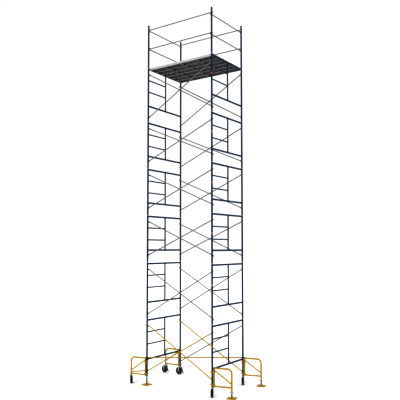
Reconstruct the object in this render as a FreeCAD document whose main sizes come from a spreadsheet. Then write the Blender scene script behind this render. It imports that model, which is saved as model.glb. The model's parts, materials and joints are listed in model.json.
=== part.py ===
"""Mobile tower scaffold: six lifts of ladder frames, 7 ft by 5 ft in plan, on casters and screw jacks.

Frame: millimetres, +Z up, origin on the ground at the middle of the four legs. X runs along the
7 ft braced sides and Y along the 5 ft ladder frames, whose rungs are at the -Y half.
"""
import math
import os
import re

import FreeCAD
import Part

# ---------------------------------------------------------------- driving dimensions
DIMENSIONS = {
    "bay_length": 2133.6,       # 7 ft between leg centres along X
    "bay_width": 1524.0,        # 5 ft between leg centres along Y
    "leg_base": 240.0,          # underside of the lowest legs above the ground
    "tall_pitch": 1540.0,       # stacking height of a tall frame
    "short_pitch": 1310.0,      # stacking height of a short frame
    "collar_rise": 12.0,        # collar of a coupling pin between two legs
    "leg_od": 42.9,
    "leg_wall": 2.6,
    "header_od": 42.2,          # top and bottom headers
    "header_drop": 40.0,        # top header below the stacking plane
    "tall_bottom_drop": 1095.0,
    "short_bottom_drop": 975.0,
    "slim_od": 33.4,            # ladder stile
    "slim_wall": 2.0,
    "stile_reach": 780.0,       # ladder stile from the front leg
    "rung_od": 30.0,
    "rung_wall": 1.8,
    "first_rung_drop": 360.0,
    "second_rung_drop": 690.0,
    "stud_od": 16.0,
    "stud_reach": 66.0,         # stud tip from the leg axis
    "stud_drop": 190.0,         # upper stud below the stacking plane
    "tall_stud_gap": 1219.2,
    "short_stud_gap": 920.0,
    "brace_od": 25.4,
    "brace_wall": 2.0,
    "tongue_gap": 24.5,         # first tongue face from the leg axis
    "tongue_thick": 5.0,
    "tongue_tail": 18.0,        # tongue beyond the stud centre
    "tongue_neck": 34.0,        # stud centre to the start of the round tube
    "pass_gap": 1.5,            # clear space where two braces cross
    "stud_hole_od": 17.0,
    "rivet_od": 10.0,
    "keeper_od": 26.0,
    "keeper_thick": 4.0,
    "keeper_tail": 34.0,
    "pin_od": 36.0,
    "pin_wall": 3.0,
    "pin_reach": 100.0,
    "post_rise": 1220.0,
    "side_top_rise": 1100.0,    # 7 ft rails above the platform's stacking plane
    "side_mid_rise": 556.0,
    "end_top_rise": 1052.0,     # 5 ft rails
    "end_mid_rise": 516.0,
    "rail_stud_reach": 46.0,
    "plank_width": 241.0,
    "plank_gap": 5.0,
    "plank_depth": 64.0,
    "plank_skin": 2.5,
    "plank_lip": 18.0,
    "plank_rise": 10.0,         # walking surface above the header's top
    "plank_setback": 26.0,      # end of the pressed channel from the header axis
    "hook_thick": 8.0,
    "hook_nose": 30.0,
    "hook_spread": 150.0,
    "seat_gap": 0.3,
    "outrigger_reach": 505.0,
    "outrigger_od": 38.0,
    "outrigger_wall": 2.4,
    "outrigger_top": 711.0,
    "outrigger_bend": 110.0,
    "inner_reach": 48.0,
    "inner_foot": 243.0,
    "inner_head": 735.0,
    "tie_od": 34.0,
    "tie_height": 262.0,
    "strut_od": 27.0,
    "strut_top": 665.0,
    "strut_foot": 345.0,
    "stay_top": 375.0,
    "stay_foot": 300.0,
    "jack_post_foot": 165.0,
    "clamp_height": 40.0,
    "clamp_wrap_od": 62.0,
    "clamp_post_od": 52.0,
    "low_clamp": 300.0,
    "high_clamp": 600.0,
    "running_gap": 0.05,
    "plan_brace_height": 727.0,
    "plan_clamp_od": 55.0,
    "plan_clamp_height": 30.0,
    "screw_od": 32.0,
    "screw_top": 560.0,
    "plate_side": 229.0,
    "plate_thick": 8.0,
    "plate_hole_od": 13.0,
    "plate_hole_offset": 82.5,
    "nut_od": 56.0,
    "nut_rise": 30.0,
    "wing_reach": 58.0,
    "wing_thick": 8.0,
    "wing_rise": 22.0,
    "wheel_od": 203.2,
    "wheel_width": 46.0,
    "tyre_round": 9.0,
    "hub_width": 56.0,
    "hub_od": 44.0,
    "axle_od": 16.0,
    "caster_trail": 45.0,
    "leg_stem_od": 37.6,
    "post_stem_od": 33.1,
    "stem_rise": 120.0,
    "bearing_od": 54.0,
    "bearing_rise": 18.0,
    "crown_thick": 12.0,
    "arm_gap": 58.0,
    "arm_thick": 5.0,
    "arm_width": 40.0,
    "pivot_back": 40.0,         # brake pivot behind the swivel axis
    "pivot_height": 198.0,
    "pivot_od": 10.0,
    "pedal_length": 150.0,
    "pedal_width": 46.0,
    "pedal_thick": 5.0,
}
PEDAL_SLOPE = 20.8              # degrees between the hanging pedal and the vertical

LIFTS = ("tall", "tall", "short", "short", "short", "tall")
CORNERS = {
    "front_left": (-1, -1),
    "front_right": (1, -1),
    "back_left": (-1, 1),
    "back_right": (1, 1),
}
OUTRIGGER_HEADING = {
    "front_left": 189.0,
    "back_left": 186.5,
    "front_right": 16.0,
    "back_right": 16.0,
}
JACK_OUTRIGGERS = ("front_right", "back_right")
LEG_JACK = "front_left"
LEG_CASTER_HEADING = {"back_left": 180.0, "front_right": -65.0, "back_right": -65.0}
OUTRIGGER_CASTER_HEADING = {"front_left": -41.0, "back_left": 172.0}
PLANKS = 6

doc = FreeCAD.newDocument("TowerScaffold")
sheet = doc.addObject("Spreadsheet::Sheet", "Dims")
for row, (alias, size) in enumerate(DIMENSIONS.items(), start=1):
    sheet.set(f"A{row}", alias)
    sheet.set(f"B{row}", str(size))
    sheet.setAlias(f"B{row}", alias)
doc.recompute()

ALIASES = re.compile(r"\b(" + "|".join(sorted(DIMENSIONS, key=len, reverse=True)) + r")\b")
NODES = []


def size(alias):
    """Value of a driving dimension, read from the sheet."""
    return float(sheet.get(alias))


def bind(obj, **formulas):
    """Ties properties of an object to formulas on the sheet's aliases."""
    for path, formula in formulas.items():
        obj.setExpression(path.replace("__", "."), ALIASES.sub(r"Dims.\1", formula))
    return obj


def place(obj, at, axis=(0, 0, 1), turn=0.0):
    """Puts a solid at three formulas, turned about an axis by an angle in degrees."""
    obj.Placement = FreeCAD.Placement(FreeCAD.Vector(), FreeCAD.Rotation(FreeCAD.Vector(*axis), turn))
    return bind(obj, Placement__Base__x=at[0], Placement__Base__y=at[1], Placement__Base__z=at[2])


def rod(name, diameter, length, at=("0", "0", "0"), axis=(0, 0, 1), turn=0.0):
    """Solid round bar that starts at a point and runs along the turned Z axis."""
    bar = doc.addObject("Part::Cylinder", name)
    bind(bar, Radius=f"({diameter}) / 2", Height=length)
    return place(bar, at, axis, turn)


def block(name, sides, at, axis=(0, 0, 1), turn=0.0):
    """Rectangular block whose lowest corner is at a point."""
    box = doc.addObject("Part::Box", name)
    bind(box, Length=sides[0], Width=sides[1], Height=sides[2])
    return place(box, at, axis, turn)


def cut(name, base, *tools):
    """Base less every tool."""
    result = doc.addObject("Part::Cut", name)
    result.Base = base
    result.Tool = tools[0] if len(tools) == 1 else join(f"{name}_tools", *tools)
    return result


def join(name, *shapes):
    """One solid made of shapes that meet."""
    result = doc.addObject("Part::MultiFuse", name)
    result.Shapes = list(shapes)
    return result


def group(name, *solids):
    """Several separate solids kept together."""
    result = doc.addObject("Part::Compound", name)
    result.Links = list(solids)
    return result


def tube(name, diameter, wall, length, at=("0", "0", "0"), axis=(0, 0, 1), turn=0.0, trims=()):
    """Round tube, open at both ends, coped to the tubes that it meets."""
    skin = rod(f"{name}_skin", diameter, length, at, axis, turn)
    bore = rod(f"{name}_bore", f"{diameter} - 2 * {wall}", length, at, axis, turn)
    return cut(name, skin, bore, *trims)


def copy_at(name, source, x=0.0, y=0.0, z=0.0, heading=0.0, flip=False):
    """Repeats a finished solid elsewhere; flip turns it end for end about the vertical."""
    twin = doc.addObject("Part::Compound", name)
    twin.Links = [source]
    turn = heading + (180.0 if flip else 0.0)
    twin.Placement = FreeCAD.Placement(
        FreeCAD.Vector(x, y, z), FreeCAD.Rotation(FreeCAD.Vector(0, 0, 1), turn)
    )
    return twin


def node(name, *solids, at=(0.0, 0.0, 0.0), heading=0.0):
    """Finished sub-part, which is exported under its own label."""
    part = group(name, *solids)
    part.Label = name
    part.Placement = FreeCAD.Placement(
        FreeCAD.Vector(*at), FreeCAD.Rotation(FreeCAD.Vector(0, 0, 1), heading)
    )
    NODES.append(part)
    return part


TO_Y = (-1, 0, 0)               # a quarter turn about this axis lays a rod along +Y
TO_X = (0, 1, 0)                # a quarter turn about this axis lays a rod along +X
QUARTER = 90.0


# ---------------------------------------------------------------- ladder frames
def lift_bases():
    """Height of the underside of each lift's legs, and of the platform's stacking plane."""
    heights = [size("leg_base")]
    for lift in LIFTS:
        heights.append(heights[-1] + size(f"{lift}_pitch"))
    return heights


BASES = lift_bases()
DECK_PLANE = BASES[-1]
HALF_LENGTH = size("bay_length") / 2
HALF_WIDTH = size("bay_width") / 2


def ladder_frame(name, kind, x, z):
    """Welded frame in a Y-Z plane: two legs, two headers, ladder stile, rungs and brace studs."""
    pitch, bottom = f"{kind}_pitch", f"{kind}_pitch - {kind}_bottom_drop"
    top = f"{kind}_pitch - header_drop"
    leg_length = f"{pitch} - collar_rise"
    cores = [rod(f"{name}_core{i}", "leg_od", leg_length, ("0", y, "0"))
             for i, y in enumerate(("0", "bay_width"))]
    legs = [tube(f"{name}_leg{i}", "leg_od", "leg_wall", leg_length, ("0", y, "0"))
            for i, y in enumerate(("0", "bay_width"))]
    header = tube(f"{name}_header", "header_od", "leg_wall", "bay_width",
                  ("0", "0", top), TO_Y, QUARTER, cores)
    sill = tube(f"{name}_sill", "header_od", "leg_wall", "bay_width",
                ("0", "0", bottom), TO_Y, QUARTER, cores)
    header_core = rod(f"{name}_header_core", "header_od", "bay_width", ("0", "0", top), TO_Y, QUARTER)
    sill_core = rod(f"{name}_sill_core", "header_od", "bay_width", ("0", "0", bottom), TO_Y, QUARTER)
    stile_length = f"{kind}_bottom_drop - header_drop"
    stile_at = ("0", "stile_reach", bottom)
    stile = tube(f"{name}_stile", "slim_od", "slim_wall", stile_length, stile_at,
                 trims=(header_core, sill_core))
    stile_core = rod(f"{name}_stile_core", "slim_od", stile_length, stile_at)
    rungs = [tube(f"{name}_rung{i}", "rung_od", "rung_wall", "stile_reach",
                  ("0", "0", f"{pitch} - {drop}"), TO_Y, QUARTER, (cores[0], stile_core))
             for i, drop in enumerate(("first_rung_drop", "second_rung_drop"))]
    studs = []
    for i, height in enumerate((f"{pitch} - stud_drop", f"{pitch} - stud_drop - {kind}_stud_gap")):
        front = rod(f"{name}_stud_f{i}", "stud_od", "stud_reach", ("0", "0", height), TO_Y, QUARTER)
        back = rod(f"{name}_stud_b{i}", "stud_od", "stud_reach",
                   ("0", "bay_width - stud_reach", height), TO_Y, QUARTER)
        studs.append(cut(f"{name}_stud_front{i}", front, cores[0]))
        studs.append(cut(f"{name}_stud_back{i}", back, cores[1]))
    return node(name, *legs, header, sill, stile, *rungs, *studs, at=(x, -HALF_WIDTH, z))


for number, (lift_kind, base) in enumerate(zip(LIFTS, BASES), start=1):
    ladder_frame(f"frame_left_{number}", lift_kind, -HALF_LENGTH, base)
    ladder_frame(f"frame_right_{number}", lift_kind, HALF_LENGTH, base)


# ---------------------------------------------------------------- bars with flattened ends
def tongued_bar(name, length, mid_hole=False):
    """Tube along +X from stud to stud, with a holed tongue at each end on its -Y side.

    The first tongue's hole is centred on the origin, and the tongue's outer face is at Y = 0.
    """
    body = tube(f"{name}_tube", "brace_od", "brace_wall", f"{length} - 2 * tongue_neck",
                ("tongue_neck", "brace_od / 2", "0"), TO_X, QUARTER)
    reach = "tongue_tail + tongue_neck + 30"
    parts, holes = [body], []
    for i, start in enumerate(("-tongue_tail", f"{length} - tongue_neck - 30")):
        parts.append(block(f"{name}_tongue{i}", (reach, "tongue_thick", "brace_od"),
                           (start, "0", "-brace_od / 2")))
        centre = "0" if i == 0 else length
        holes.append(rod(f"{name}_hole{i}", "stud_hole_od", "brace_od + 2",
                         (centre, "-1", "0"), TO_Y, QUARTER))
    if mid_hole:
        holes.append(rod(f"{name}_rivet_hole", "rivet_od", "brace_od + 2",
                         (f"{length} / 2", "-1", "0"), TO_Y, QUARTER))
    return cut(name, join(f"{name}_blank", *parts), *holes)


def keeper(name):
    """Drop keeper that hangs on a stud: a disc with a tail, its inner face at Y = 0."""
    disc = rod(f"{name}_disc", "keeper_od", "keeper_thick", ("0", "0", "0"), TO_Y, QUARTER)
    tail = block(f"{name}_tail", ("keeper_od * 0.7", "keeper_thick", "keeper_tail"),
                 ("-keeper_od * 0.35", "0", "-keeper_tail"))
    hole = rod(f"{name}_hole", "stud_od + 0.4", "keeper_thick + 2", ("0", "-1", "0"), TO_Y, QUARTER)
    return cut(name, join(f"{name}_blank", disc, tail), hole)


BRACE_MASTER = {
    kind: tongued_bar(f"{kind}_brace_bar", f"sqrt(bay_length ^ 2 + {kind}_stud_gap ^ 2)", True)
    for kind in ("tall", "short")
}
RIVET = rod("brace_rivet", "rivet_od", "2 * brace_od + pass_gap + 6", ("0", "-3", "0"), TO_Y, QUARTER)
KEEPER = keeper("stud_keeper")
FIRST_LAYER = size("tongue_gap")
SECOND_LAYER = FIRST_LAYER + size("brace_od") + size("pass_gap")


def brace_bar(name, lift, side, rising):
    """One bar of a lift's cross, on the front (-1) or back (+1) face.

    The bar that rises to the right lies next to the legs, and the other passes inside it.
    """
    kind = LIFTS[lift]
    upper = BASES[lift] + size(f"{kind}_pitch") - size("stud_drop")
    gap = size(f"{kind}_stud_gap")
    slope = math.degrees(math.atan2(gap, size("bay_length")))
    layer = FIRST_LAYER if rising else SECOND_LAYER
    start = FreeCAD.Vector(
        side * HALF_LENGTH,
        side * (HALF_WIDTH - layer),
        upper if rising == (side > 0) else upper - gap,
    )
    facing = FreeCAD.Rotation(FreeCAD.Vector(0, 0, 1), 180.0 if side > 0 else 0.0)
    tilt = FreeCAD.Rotation(FreeCAD.Vector(0, 1, 0), slope if rising == (side > 0) else -slope)
    bar = doc.addObject("Part::Compound", name)
    bar.Links = [BRACE_MASTER[kind]]
    bar.Placement = FreeCAD.Placement(start, facing * tilt)
    return bar


def brace_rivet(name, lift, side):
    """Pivot rivet through the middle of one cross."""
    kind = LIFTS[lift]
    middle = BASES[lift] + size(f"{kind}_pitch") - size("stud_drop") - size(f"{kind}_stud_gap") / 2
    return copy_at(name, RIVET, 0.0, side * (HALF_WIDTH - FIRST_LAYER), middle, flip=side > 0)


FACES = {"front": -1, "back": 1}
yellow, tall, short = [], [], []
for lift, kind in enumerate(LIFTS):
    for face, side in FACES.items():
        for rising in (True, False):
            label = f"bar_{lift + 1}_{face}_{'rising' if rising else 'falling'}"
            bar = brace_bar(label, lift, side, rising)
            painted = lift == 0 and not (face == "back" and rising)
            (yellow if painted else tall if kind == "tall" else short).append(bar)
        rivet = brace_rivet(f"rivet_{lift + 1}_{face}", lift, side)
        (tall if kind == "tall" else short).append(rivet)
node("cross_braces_yellow", *yellow)
node("cross_braces_tall", *tall)
node("cross_braces_short", *short)


def brace_keepers():
    """Keeper on every brace stud, just inside the tongue that it holds."""
    keepers = []
    for lift, kind in enumerate(LIFTS):
        upper = BASES[lift] + size(f"{kind}_pitch") - size("stud_drop")
        for side in FACES.values():
            for end in (-1, 1):
                for level, z in enumerate((upper, upper - size(f"{kind}_stud_gap"))):
                    rising = (level == 0) == (end > 0)
                    layer = FIRST_LAYER if rising else SECOND_LAYER
                    layer += size("tongue_thick") + 1.5
                    keepers.append(copy_at(
                        f"keeper_{lift}_{side + 1}_{end + 1}_{level}", KEEPER,
                        end * HALF_LENGTH, side * (HALF_WIDTH - layer), z, flip=side > 0,
                    ))
    return keepers


node("brace_keepers", *brace_keepers())


# ---------------------------------------------------------------- coupling pins and guard posts
sleeve = tube("pin_sleeve", "pin_od", "pin_wall", "2 * pin_reach + collar_rise",
              ("0", "0", "-pin_reach - collar_rise"))
collar = cut("pin_collar", rod("pin_collar_skin", "leg_od", "collar_rise", ("0", "0", "-collar_rise")),
             rod("pin_collar_bore", "pin_od - 2 * pin_wall", "collar_rise", ("0", "0", "-collar_rise")))
COUPLING = join("coupling_pin", sleeve, collar)
node("coupling_pins", *(
    copy_at(f"pin_{corner}_{joint}", COUPLING, sx * HALF_LENGTH, sy * HALF_WIDTH, height)
    for corner, (sx, sy) in CORNERS.items()
    for joint, height in enumerate(BASES[1:])
))

post_core = rod("post_core", "leg_od", "post_rise")
post_tube = tube("post_tube", "leg_od", "leg_wall", "post_rise")
side_studs = [cut(f"side_stud{i}", rod(f"side_stud_rod{i}", "stud_od", "rail_stud_reach",
                                       ("0", "0", rise), TO_Y, QUARTER), post_core)
              for i, rise in enumerate(("side_top_rise", "side_mid_rise"))]
end_studs = [cut(f"end_stud{i}", rod(f"end_stud_rod{i}", "stud_od", "rail_stud_reach",
                                     ("0", "0", rise), TO_X, QUARTER), post_core)
             for i, rise in enumerate(("end_top_rise", "end_mid_rise"))]
posts = []
for corner, (sx, sy) in CORNERS.items():
    place_at = (sx * HALF_LENGTH, sy * HALF_WIDTH, DECK_PLANE)
    posts.append(copy_at(f"post_{corner}", post_tube, *place_at))
    for i in range(2):
        posts.append(copy_at(f"post_{corner}_side{i}", side_studs[i], *place_at, flip=sy > 0))
        posts.append(copy_at(f"post_{corner}_end{i}", end_studs[i], *place_at, flip=sx > 0))
node("guard_posts", *posts)


# ---------------------------------------------------------------- guard rails
side_rail = tongued_bar("side_rail", "bay_length")
end_rail = tongued_bar("end_rail", "bay_width")
SIDE_RISES = ("side_top_rise", "side_mid_rise")
END_RISES = ("end_top_rise", "end_mid_rise")
rail_keepers = []
for face, side in FACES.items():
    node(f"side_rails_{face}", *(
        copy_at(f"rail_{face}_{i}", side_rail, side * HALF_LENGTH,
                side * (HALF_WIDTH - FIRST_LAYER), DECK_PLANE + size(rise), flip=side > 0)
        for i, rise in enumerate(SIDE_RISES)
    ))
    for end in (-1, 1):
        for i, rise in enumerate(SIDE_RISES):
            rail_keepers.append(copy_at(
                f"side_keeper_{face}_{end + 1}_{i}", KEEPER, end * HALF_LENGTH,
                side * (HALF_WIDTH - FIRST_LAYER - size("tongue_thick") - 1.5),
                DECK_PLANE + size(rise), flip=side > 0,
            ))
for hand, end in {"left": -1, "right": 1}.items():
    heading = 90.0 if end > 0 else -90.0
    node(f"end_rails_{hand}", *(
        copy_at(f"rail_{hand}_{i}", end_rail, end * (HALF_LENGTH - FIRST_LAYER),
                -end * HALF_WIDTH, DECK_PLANE + size(rise), heading=heading)
        for i, rise in enumerate(END_RISES)
    ))
    for side in (-1, 1):
        for i, rise in enumerate(END_RISES):
            rail_keepers.append(copy_at(
                f"end_keeper_{hand}_{side + 1}_{i}", KEEPER,
                end * (HALF_LENGTH - FIRST_LAYER - size("tongue_thick") - 1.5),
                side * HALF_WIDTH, DECK_PLANE + size(rise), heading=heading,
            ))
node("rail_keepers", *rail_keepers)


# ---------------------------------------------------------------- plan brace
PLAN_LENGTH = "sqrt(bay_length ^ 2 + bay_width ^ 2)"
plan_heading = math.degrees(math.atan2(size("bay_width"), size("bay_length")))
plan_ends = [rod(f"plan_end{i}", "plan_clamp_od", "plan_clamp_height",
                 (x, "0", "-plan_clamp_height / 2")) for i, x in enumerate(("0", PLAN_LENGTH))]
plan_tube = tube("plan_tube", "tie_od * 0.8", "slim_wall", PLAN_LENGTH, ("0", "0", "0"),
                 TO_X, QUARTER, plan_ends)
plan_at = (-HALF_LENGTH, -HALF_WIDTH, size("plan_brace_height"))
node("plan_brace", plan_tube, at=plan_at, heading=plan_heading)
plan_rings = [cut(f"plan_ring{i}", end, rod(f"plan_ring_bore{i}", "leg_od", "plan_clamp_height",
                                            (x, "0", "-plan_clamp_height / 2")))
              for i, (end, x) in enumerate(zip(plan_ends, ("0", PLAN_LENGTH)))]
node("plan_brace_clamps", *plan_rings, at=plan_at, heading=plan_heading)


# ---------------------------------------------------------------- platform planks
plank_length = "bay_length - 2 * plank_setback"
channel = cut(
    "plank_channel",
    block("plank_skin_block", (plank_length, "plank_width", "plank_depth"),
          ("plank_setback", "-plank_width / 2", "-plank_depth")),
    block("plank_hollow", (plank_length, "plank_width - 2 * plank_skin", "plank_depth - 2 * plank_skin"),
          ("plank_setback", "-plank_width / 2 + plank_skin", "-plank_depth + plank_skin")),
    block("plank_slot", (plank_length, "plank_width - 2 * plank_lip", "plank_depth / 2"),
          ("plank_setback", "-plank_width / 2 + plank_lip", "-plank_depth")),
)


def hook_bracket(name):
    """End plate with two hooks that drop over the header; the header's axis is at X = 0."""
    drop = "(header_od / 2 + plank_rise)"
    plate = block(f"{name}_plate", ("3", "plank_width - 2 * plank_skin", "plank_depth - 2 * plank_skin"),
                  ("plank_setback - 3", "-plank_width / 2 + plank_skin", "-plank_depth + plank_skin"))
    hooks = [block(f"{name}_hook{i}", ("hook_nose + plank_setback - 1", "hook_thick", f"{drop} + 10 - plank_skin"),
                   ("-hook_nose", f"{sign} * hook_spread / 2 - hook_thick / 2", f"-{drop} - 10"))
             for i, sign in enumerate(("-1", "1"))]
    seat = rod(f"{name}_seat", "header_od + 2 * seat_gap", "plank_width",
               ("0", "-plank_width / 2", f"-{drop}"), TO_Y, QUARTER)
    mouth = block(f"{name}_mouth", ("header_od + 2 * seat_gap", "plank_width", "plank_depth"),
                  ("-header_od / 2 - seat_gap", "-plank_width / 2", f"-{drop} - plank_depth"))
    return cut(name, join(f"{name}_blank", plate, *hooks), seat, mouth)


near_hooks = hook_bracket("plank_hooks")
DECK_TOP = DECK_PLANE - size("header_drop") + size("header_od") / 2 + size("plank_rise")
for number in range(1, PLANKS + 1):
    offset = (number - (PLANKS + 1) / 2) * (size("plank_width") + size("plank_gap"))
    far_hooks = copy_at(f"far_hooks_{number}", near_hooks, 2 * HALF_LENGTH, flip=True)
    node(f"plank_{number}", channel, near_hooks, far_hooks, at=(-HALF_LENGTH, offset, DECK_TOP))


# ---------------------------------------------------------------- outriggers
def outrigger(name, foot, with_stay=False):
    """Rail, elbow, outer post, inner post, tie, strut and optional stay, in the X-Z plane of its leg."""
    straight = "outrigger_top - outrigger_bend"
    rail_run = "outrigger_reach - outrigger_bend"
    elbow_layers = []
    for layer, radius in (("skin", "outrigger_od / 2"), ("bore", "outrigger_od / 2 - outrigger_wall")):
        bend = doc.addObject("Part::Torus", f"{name}_{layer}_bend")
        bind(bend, Radius1="outrigger_bend", Radius2=radius, Angle3="90")
        bend.Placement = FreeCAD.Placement(FreeCAD.Vector(), FreeCAD.Rotation(FreeCAD.Vector(1, 0, 0), 90))
        bind(bend, Placement__Base__x=rail_run, Placement__Base__z=straight)
        elbow_layers.append(bend)
    elbow = cut(f"{name}_elbow", *elbow_layers)
    inner_length = "inner_head - inner_foot"
    inner_core = rod(f"{name}_inner_core", "outrigger_od", inner_length, ("inner_reach", "0", "inner_foot"))
    rail = tube(f"{name}_rail", "outrigger_od", "outrigger_wall", f"{rail_run} - inner_reach",
                ("inner_reach", "0", "outrigger_top"), TO_X, QUARTER, (inner_core,))
    post = tube(f"{name}_post", "outrigger_od", "outrigger_wall", f"{straight} - {foot}",
                ("outrigger_reach", "0", foot))
    inner = tube(f"{name}_inner", "outrigger_od", "outrigger_wall", inner_length,
                 ("inner_reach", "0", "inner_foot"))
    outer_core = rod(f"{name}_outer_core", "outrigger_od", f"{straight} - {foot}",
                     ("outrigger_reach", "0", foot))
    span = "outrigger_reach - inner_reach"
    tie = tube(f"{name}_tie", "tie_od", "outrigger_wall", span,
               ("inner_reach", "0", "tie_height"), TO_X, QUARTER, (inner_core, outer_core))
    solids = [rail, elbow, post, inner, tie]
    slants = [("strut", "strut_top", "strut_foot")] + ([("stay", "stay_top", "stay_foot")] * with_stay)
    for label, high, low in slants:
        slope = math.degrees(math.atan2(size(high) - size(low), size("outrigger_reach") - size("inner_reach")))
        solids.append(tube(
            f"{name}_{label}", "strut_od", "outrigger_wall", f"sqrt(({span}) ^ 2 + ({high} - {low}) ^ 2)",
            ("inner_reach", "0", high), TO_X, 90.0 + slope, (inner_core, outer_core),
        ))
    return solids


def leg_clamp(name, height):
    """Figure-eight clamp that turns on the leg and grips the inner post, with its T-handled screw."""
    base = f"{height} - clamp_height / 2"
    wrap = rod(f"{name}_wrap", "clamp_wrap_od", "clamp_height", ("0", "0", base))
    grip = rod(f"{name}_grip", "clamp_post_od", "clamp_height", ("inner_reach", "0", base))
    leg_hole = rod(f"{name}_leg_hole", "leg_od + 2 * running_gap", "clamp_height", ("0", "0", base))
    post_hole = rod(f"{name}_post_hole", "outrigger_od", "clamp_height", ("inner_reach", "0", base))
    body = cut(f"{name}_body", join(f"{name}_blank", wrap, grip), leg_hole, post_hole)
    shank = rod(f"{name}_shank", "12", "34", ("-clamp_wrap_od / 2 - 33", "0", height), TO_X, QUARTER)
    grip_bar = rod(f"{name}_handle", "9", "52", ("-clamp_wrap_od / 2 - 30", "0", f"{height} - 26"))
    wrap_core = rod(f"{name}_wrap_core", "clamp_wrap_od", "clamp_height", ("0", "0", base))
    return [body, cut(f"{name}_screw", join(f"{name}_screw_blank", shank, grip_bar), wrap_core)]


for corner, (sx, sy) in CORNERS.items():
    foot = "jack_post_foot" if corner in JACK_OUTRIGGERS else "leg_base"
    at = (sx * HALF_LENGTH, sy * HALF_WIDTH, 0.0)
    heading = OUTRIGGER_HEADING[corner]
    tag = f"outrigger_{corner}"
    node(tag, *outrigger(f"{tag}_tubes", foot, corner == LEG_JACK), at=at, heading=heading)
    node(f"{tag}_clamps", *leg_clamp(f"{tag}_low", "low_clamp"), *leg_clamp(f"{tag}_high", "high_clamp"),
         at=at, heading=heading)


def outrigger_end(corner):
    """Point on the ground under the outer post of a corner's outrigger."""
    sx, sy = CORNERS[corner]
    angle = math.radians(OUTRIGGER_HEADING[corner])
    reach = size("outrigger_reach")
    return (sx * HALF_LENGTH + reach * math.cos(angle), sy * HALF_WIDTH + reach * math.sin(angle), 0.0)


# ---------------------------------------------------------------- screw jacks
def jack_screw(name):
    """Square base plate with four nail holes, and the screw with its socket ring welded on top."""
    plate = block(f"{name}_plate_blank", ("plate_side", "plate_side", "plate_thick"),
                  ("-plate_side / 2", "-plate_side / 2", "0"))
    holes = [rod(f"{name}_hole{i}", "plate_hole_od", "plate_thick + 2",
                 (f"{dx} * plate_hole_offset", f"{dy} * plate_hole_offset", "-1"))
             for i, (dx, dy) in enumerate(((-1, -1), (1, -1), (-1, 1), (1, 1)))]
    screw = rod(f"{name}_rod", "screw_od", "screw_top - plate_thick", ("0", "0", "plate_thick"))
    socket = rod(f"{name}_socket", "screw_od + 12", "22", ("0", "0", "plate_thick"))
    return [cut(f"{name}_plate", plate, *holes), join(f"{name}_screw", screw, socket)]


def jack_nut(name, top):
    """Wing nut that carries the tube's lower end."""
    base = f"{top} - nut_rise"
    barrel = rod(f"{name}_barrel", "nut_od", "nut_rise", ("0", "0", base))
    wings = block(f"{name}_wings", ("2 * wing_reach", "wing_thick", "wing_rise"),
                  ("-wing_reach", "-wing_thick / 2", f"{base} + 2"))
    bore = rod(f"{name}_bore", "screw_od + 2 * running_gap", "nut_rise", ("0", "0", base))
    return cut(f"{name}_body", join(f"{name}_blank", barrel, wings), bore)


def screw_jack(tag, top, at, heading):
    """Both moving pieces of one jack."""
    node(f"jack_screw_{tag}", *jack_screw(f"{tag}_jack"), at=at, heading=heading)
    node(f"jack_nut_{tag}", jack_nut(f"{tag}_nut", top), at=at, heading=heading)


sx, sy = CORNERS[LEG_JACK]
screw_jack(f"leg_{LEG_JACK}", "leg_base", (sx * HALF_LENGTH, sy * HALF_WIDTH, 0.0), 0.0)
for corner in JACK_OUTRIGGERS:
    screw_jack(f"outrigger_{corner}", "jack_post_foot", outrigger_end(corner), OUTRIGGER_HEADING[corner])


# ---------------------------------------------------------------- casters
CROWN_FOOT = "leg_base - bearing_rise - crown_thick"


def caster_fork(name, stem):
    """Stem, bearing, crown, two arms and two ears; the swivel axis is at the origin and the wheel trails to +X."""
    bars = [
        rod(f"{name}_stem", stem, "stem_rise", ("0", "0", "leg_base - seat_gap")),
        rod(f"{name}_bearing", "bearing_od", "bearing_rise - seat_gap", ("0", "0", "leg_base - bearing_rise")),
        block(f"{name}_crown", ("pivot_back + 12 + caster_trail + 22", "arm_gap + 2 * arm_thick", "crown_thick"),
              ("-pivot_back - 12", "-arm_gap / 2 - arm_thick", CROWN_FOOT)),
    ]
    for i, y in enumerate(("-arm_gap / 2 - arm_thick", "arm_gap / 2")):
        arm = block(f"{name}_arm{i}", ("arm_width", "arm_thick", f"{CROWN_FOOT} - wheel_od / 2"),
                    ("caster_trail - arm_width / 2", y, "wheel_od / 2"))
        boss = rod(f"{name}_boss{i}", "arm_width", "arm_thick",
                   ("caster_trail", y, "wheel_od / 2"), TO_Y, QUARTER)
        axle_hole = rod(f"{name}_axle_hole{i}", "axle_od", "arm_thick + 2",
                        ("caster_trail", f"{y} - 1", "wheel_od / 2"), TO_Y, QUARTER)
        bars.append(cut(f"{name}_side{i}", join(f"{name}_side_blank{i}", arm, boss), axle_hole))
        ear = block(f"{name}_ear{i}", ("24", "arm_thick", f"{CROWN_FOOT} - pivot_height + 14"),
                    ("-pivot_back - 12", y, "pivot_height - 14"))
        pivot_hole = rod(f"{name}_pivot_hole{i}", "pivot_od", "arm_thick + 2",
                         ("-pivot_back", f"{y} - 1", "pivot_height"), TO_Y, QUARTER)
        bars.append(cut(f"{name}_lug{i}", ear, pivot_hole))
    half = "arm_gap / 2 + arm_thick"
    axle = join(
        f"{name}_axle",
        rod(f"{name}_axle_rod", "axle_od", f"2 * ({half}) + 12",
            ("caster_trail", f"-({half}) - 6", "wheel_od / 2"), TO_Y, QUARTER),
        rod(f"{name}_axle_head", "axle_od + 10", "8", ("caster_trail", f"-({half}) - 8", "wheel_od / 2"), TO_Y, QUARTER),
        rod(f"{name}_axle_nut", "axle_od + 10", "8", ("caster_trail", half, "wheel_od / 2"), TO_Y, QUARTER),
    )
    pivot = rod(f"{name}_pivot", "pivot_od", f"2 * ({half})", ("-pivot_back", f"-({half})", "pivot_height"), TO_Y, QUARTER)
    return [*bars, axle, pivot]


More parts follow.
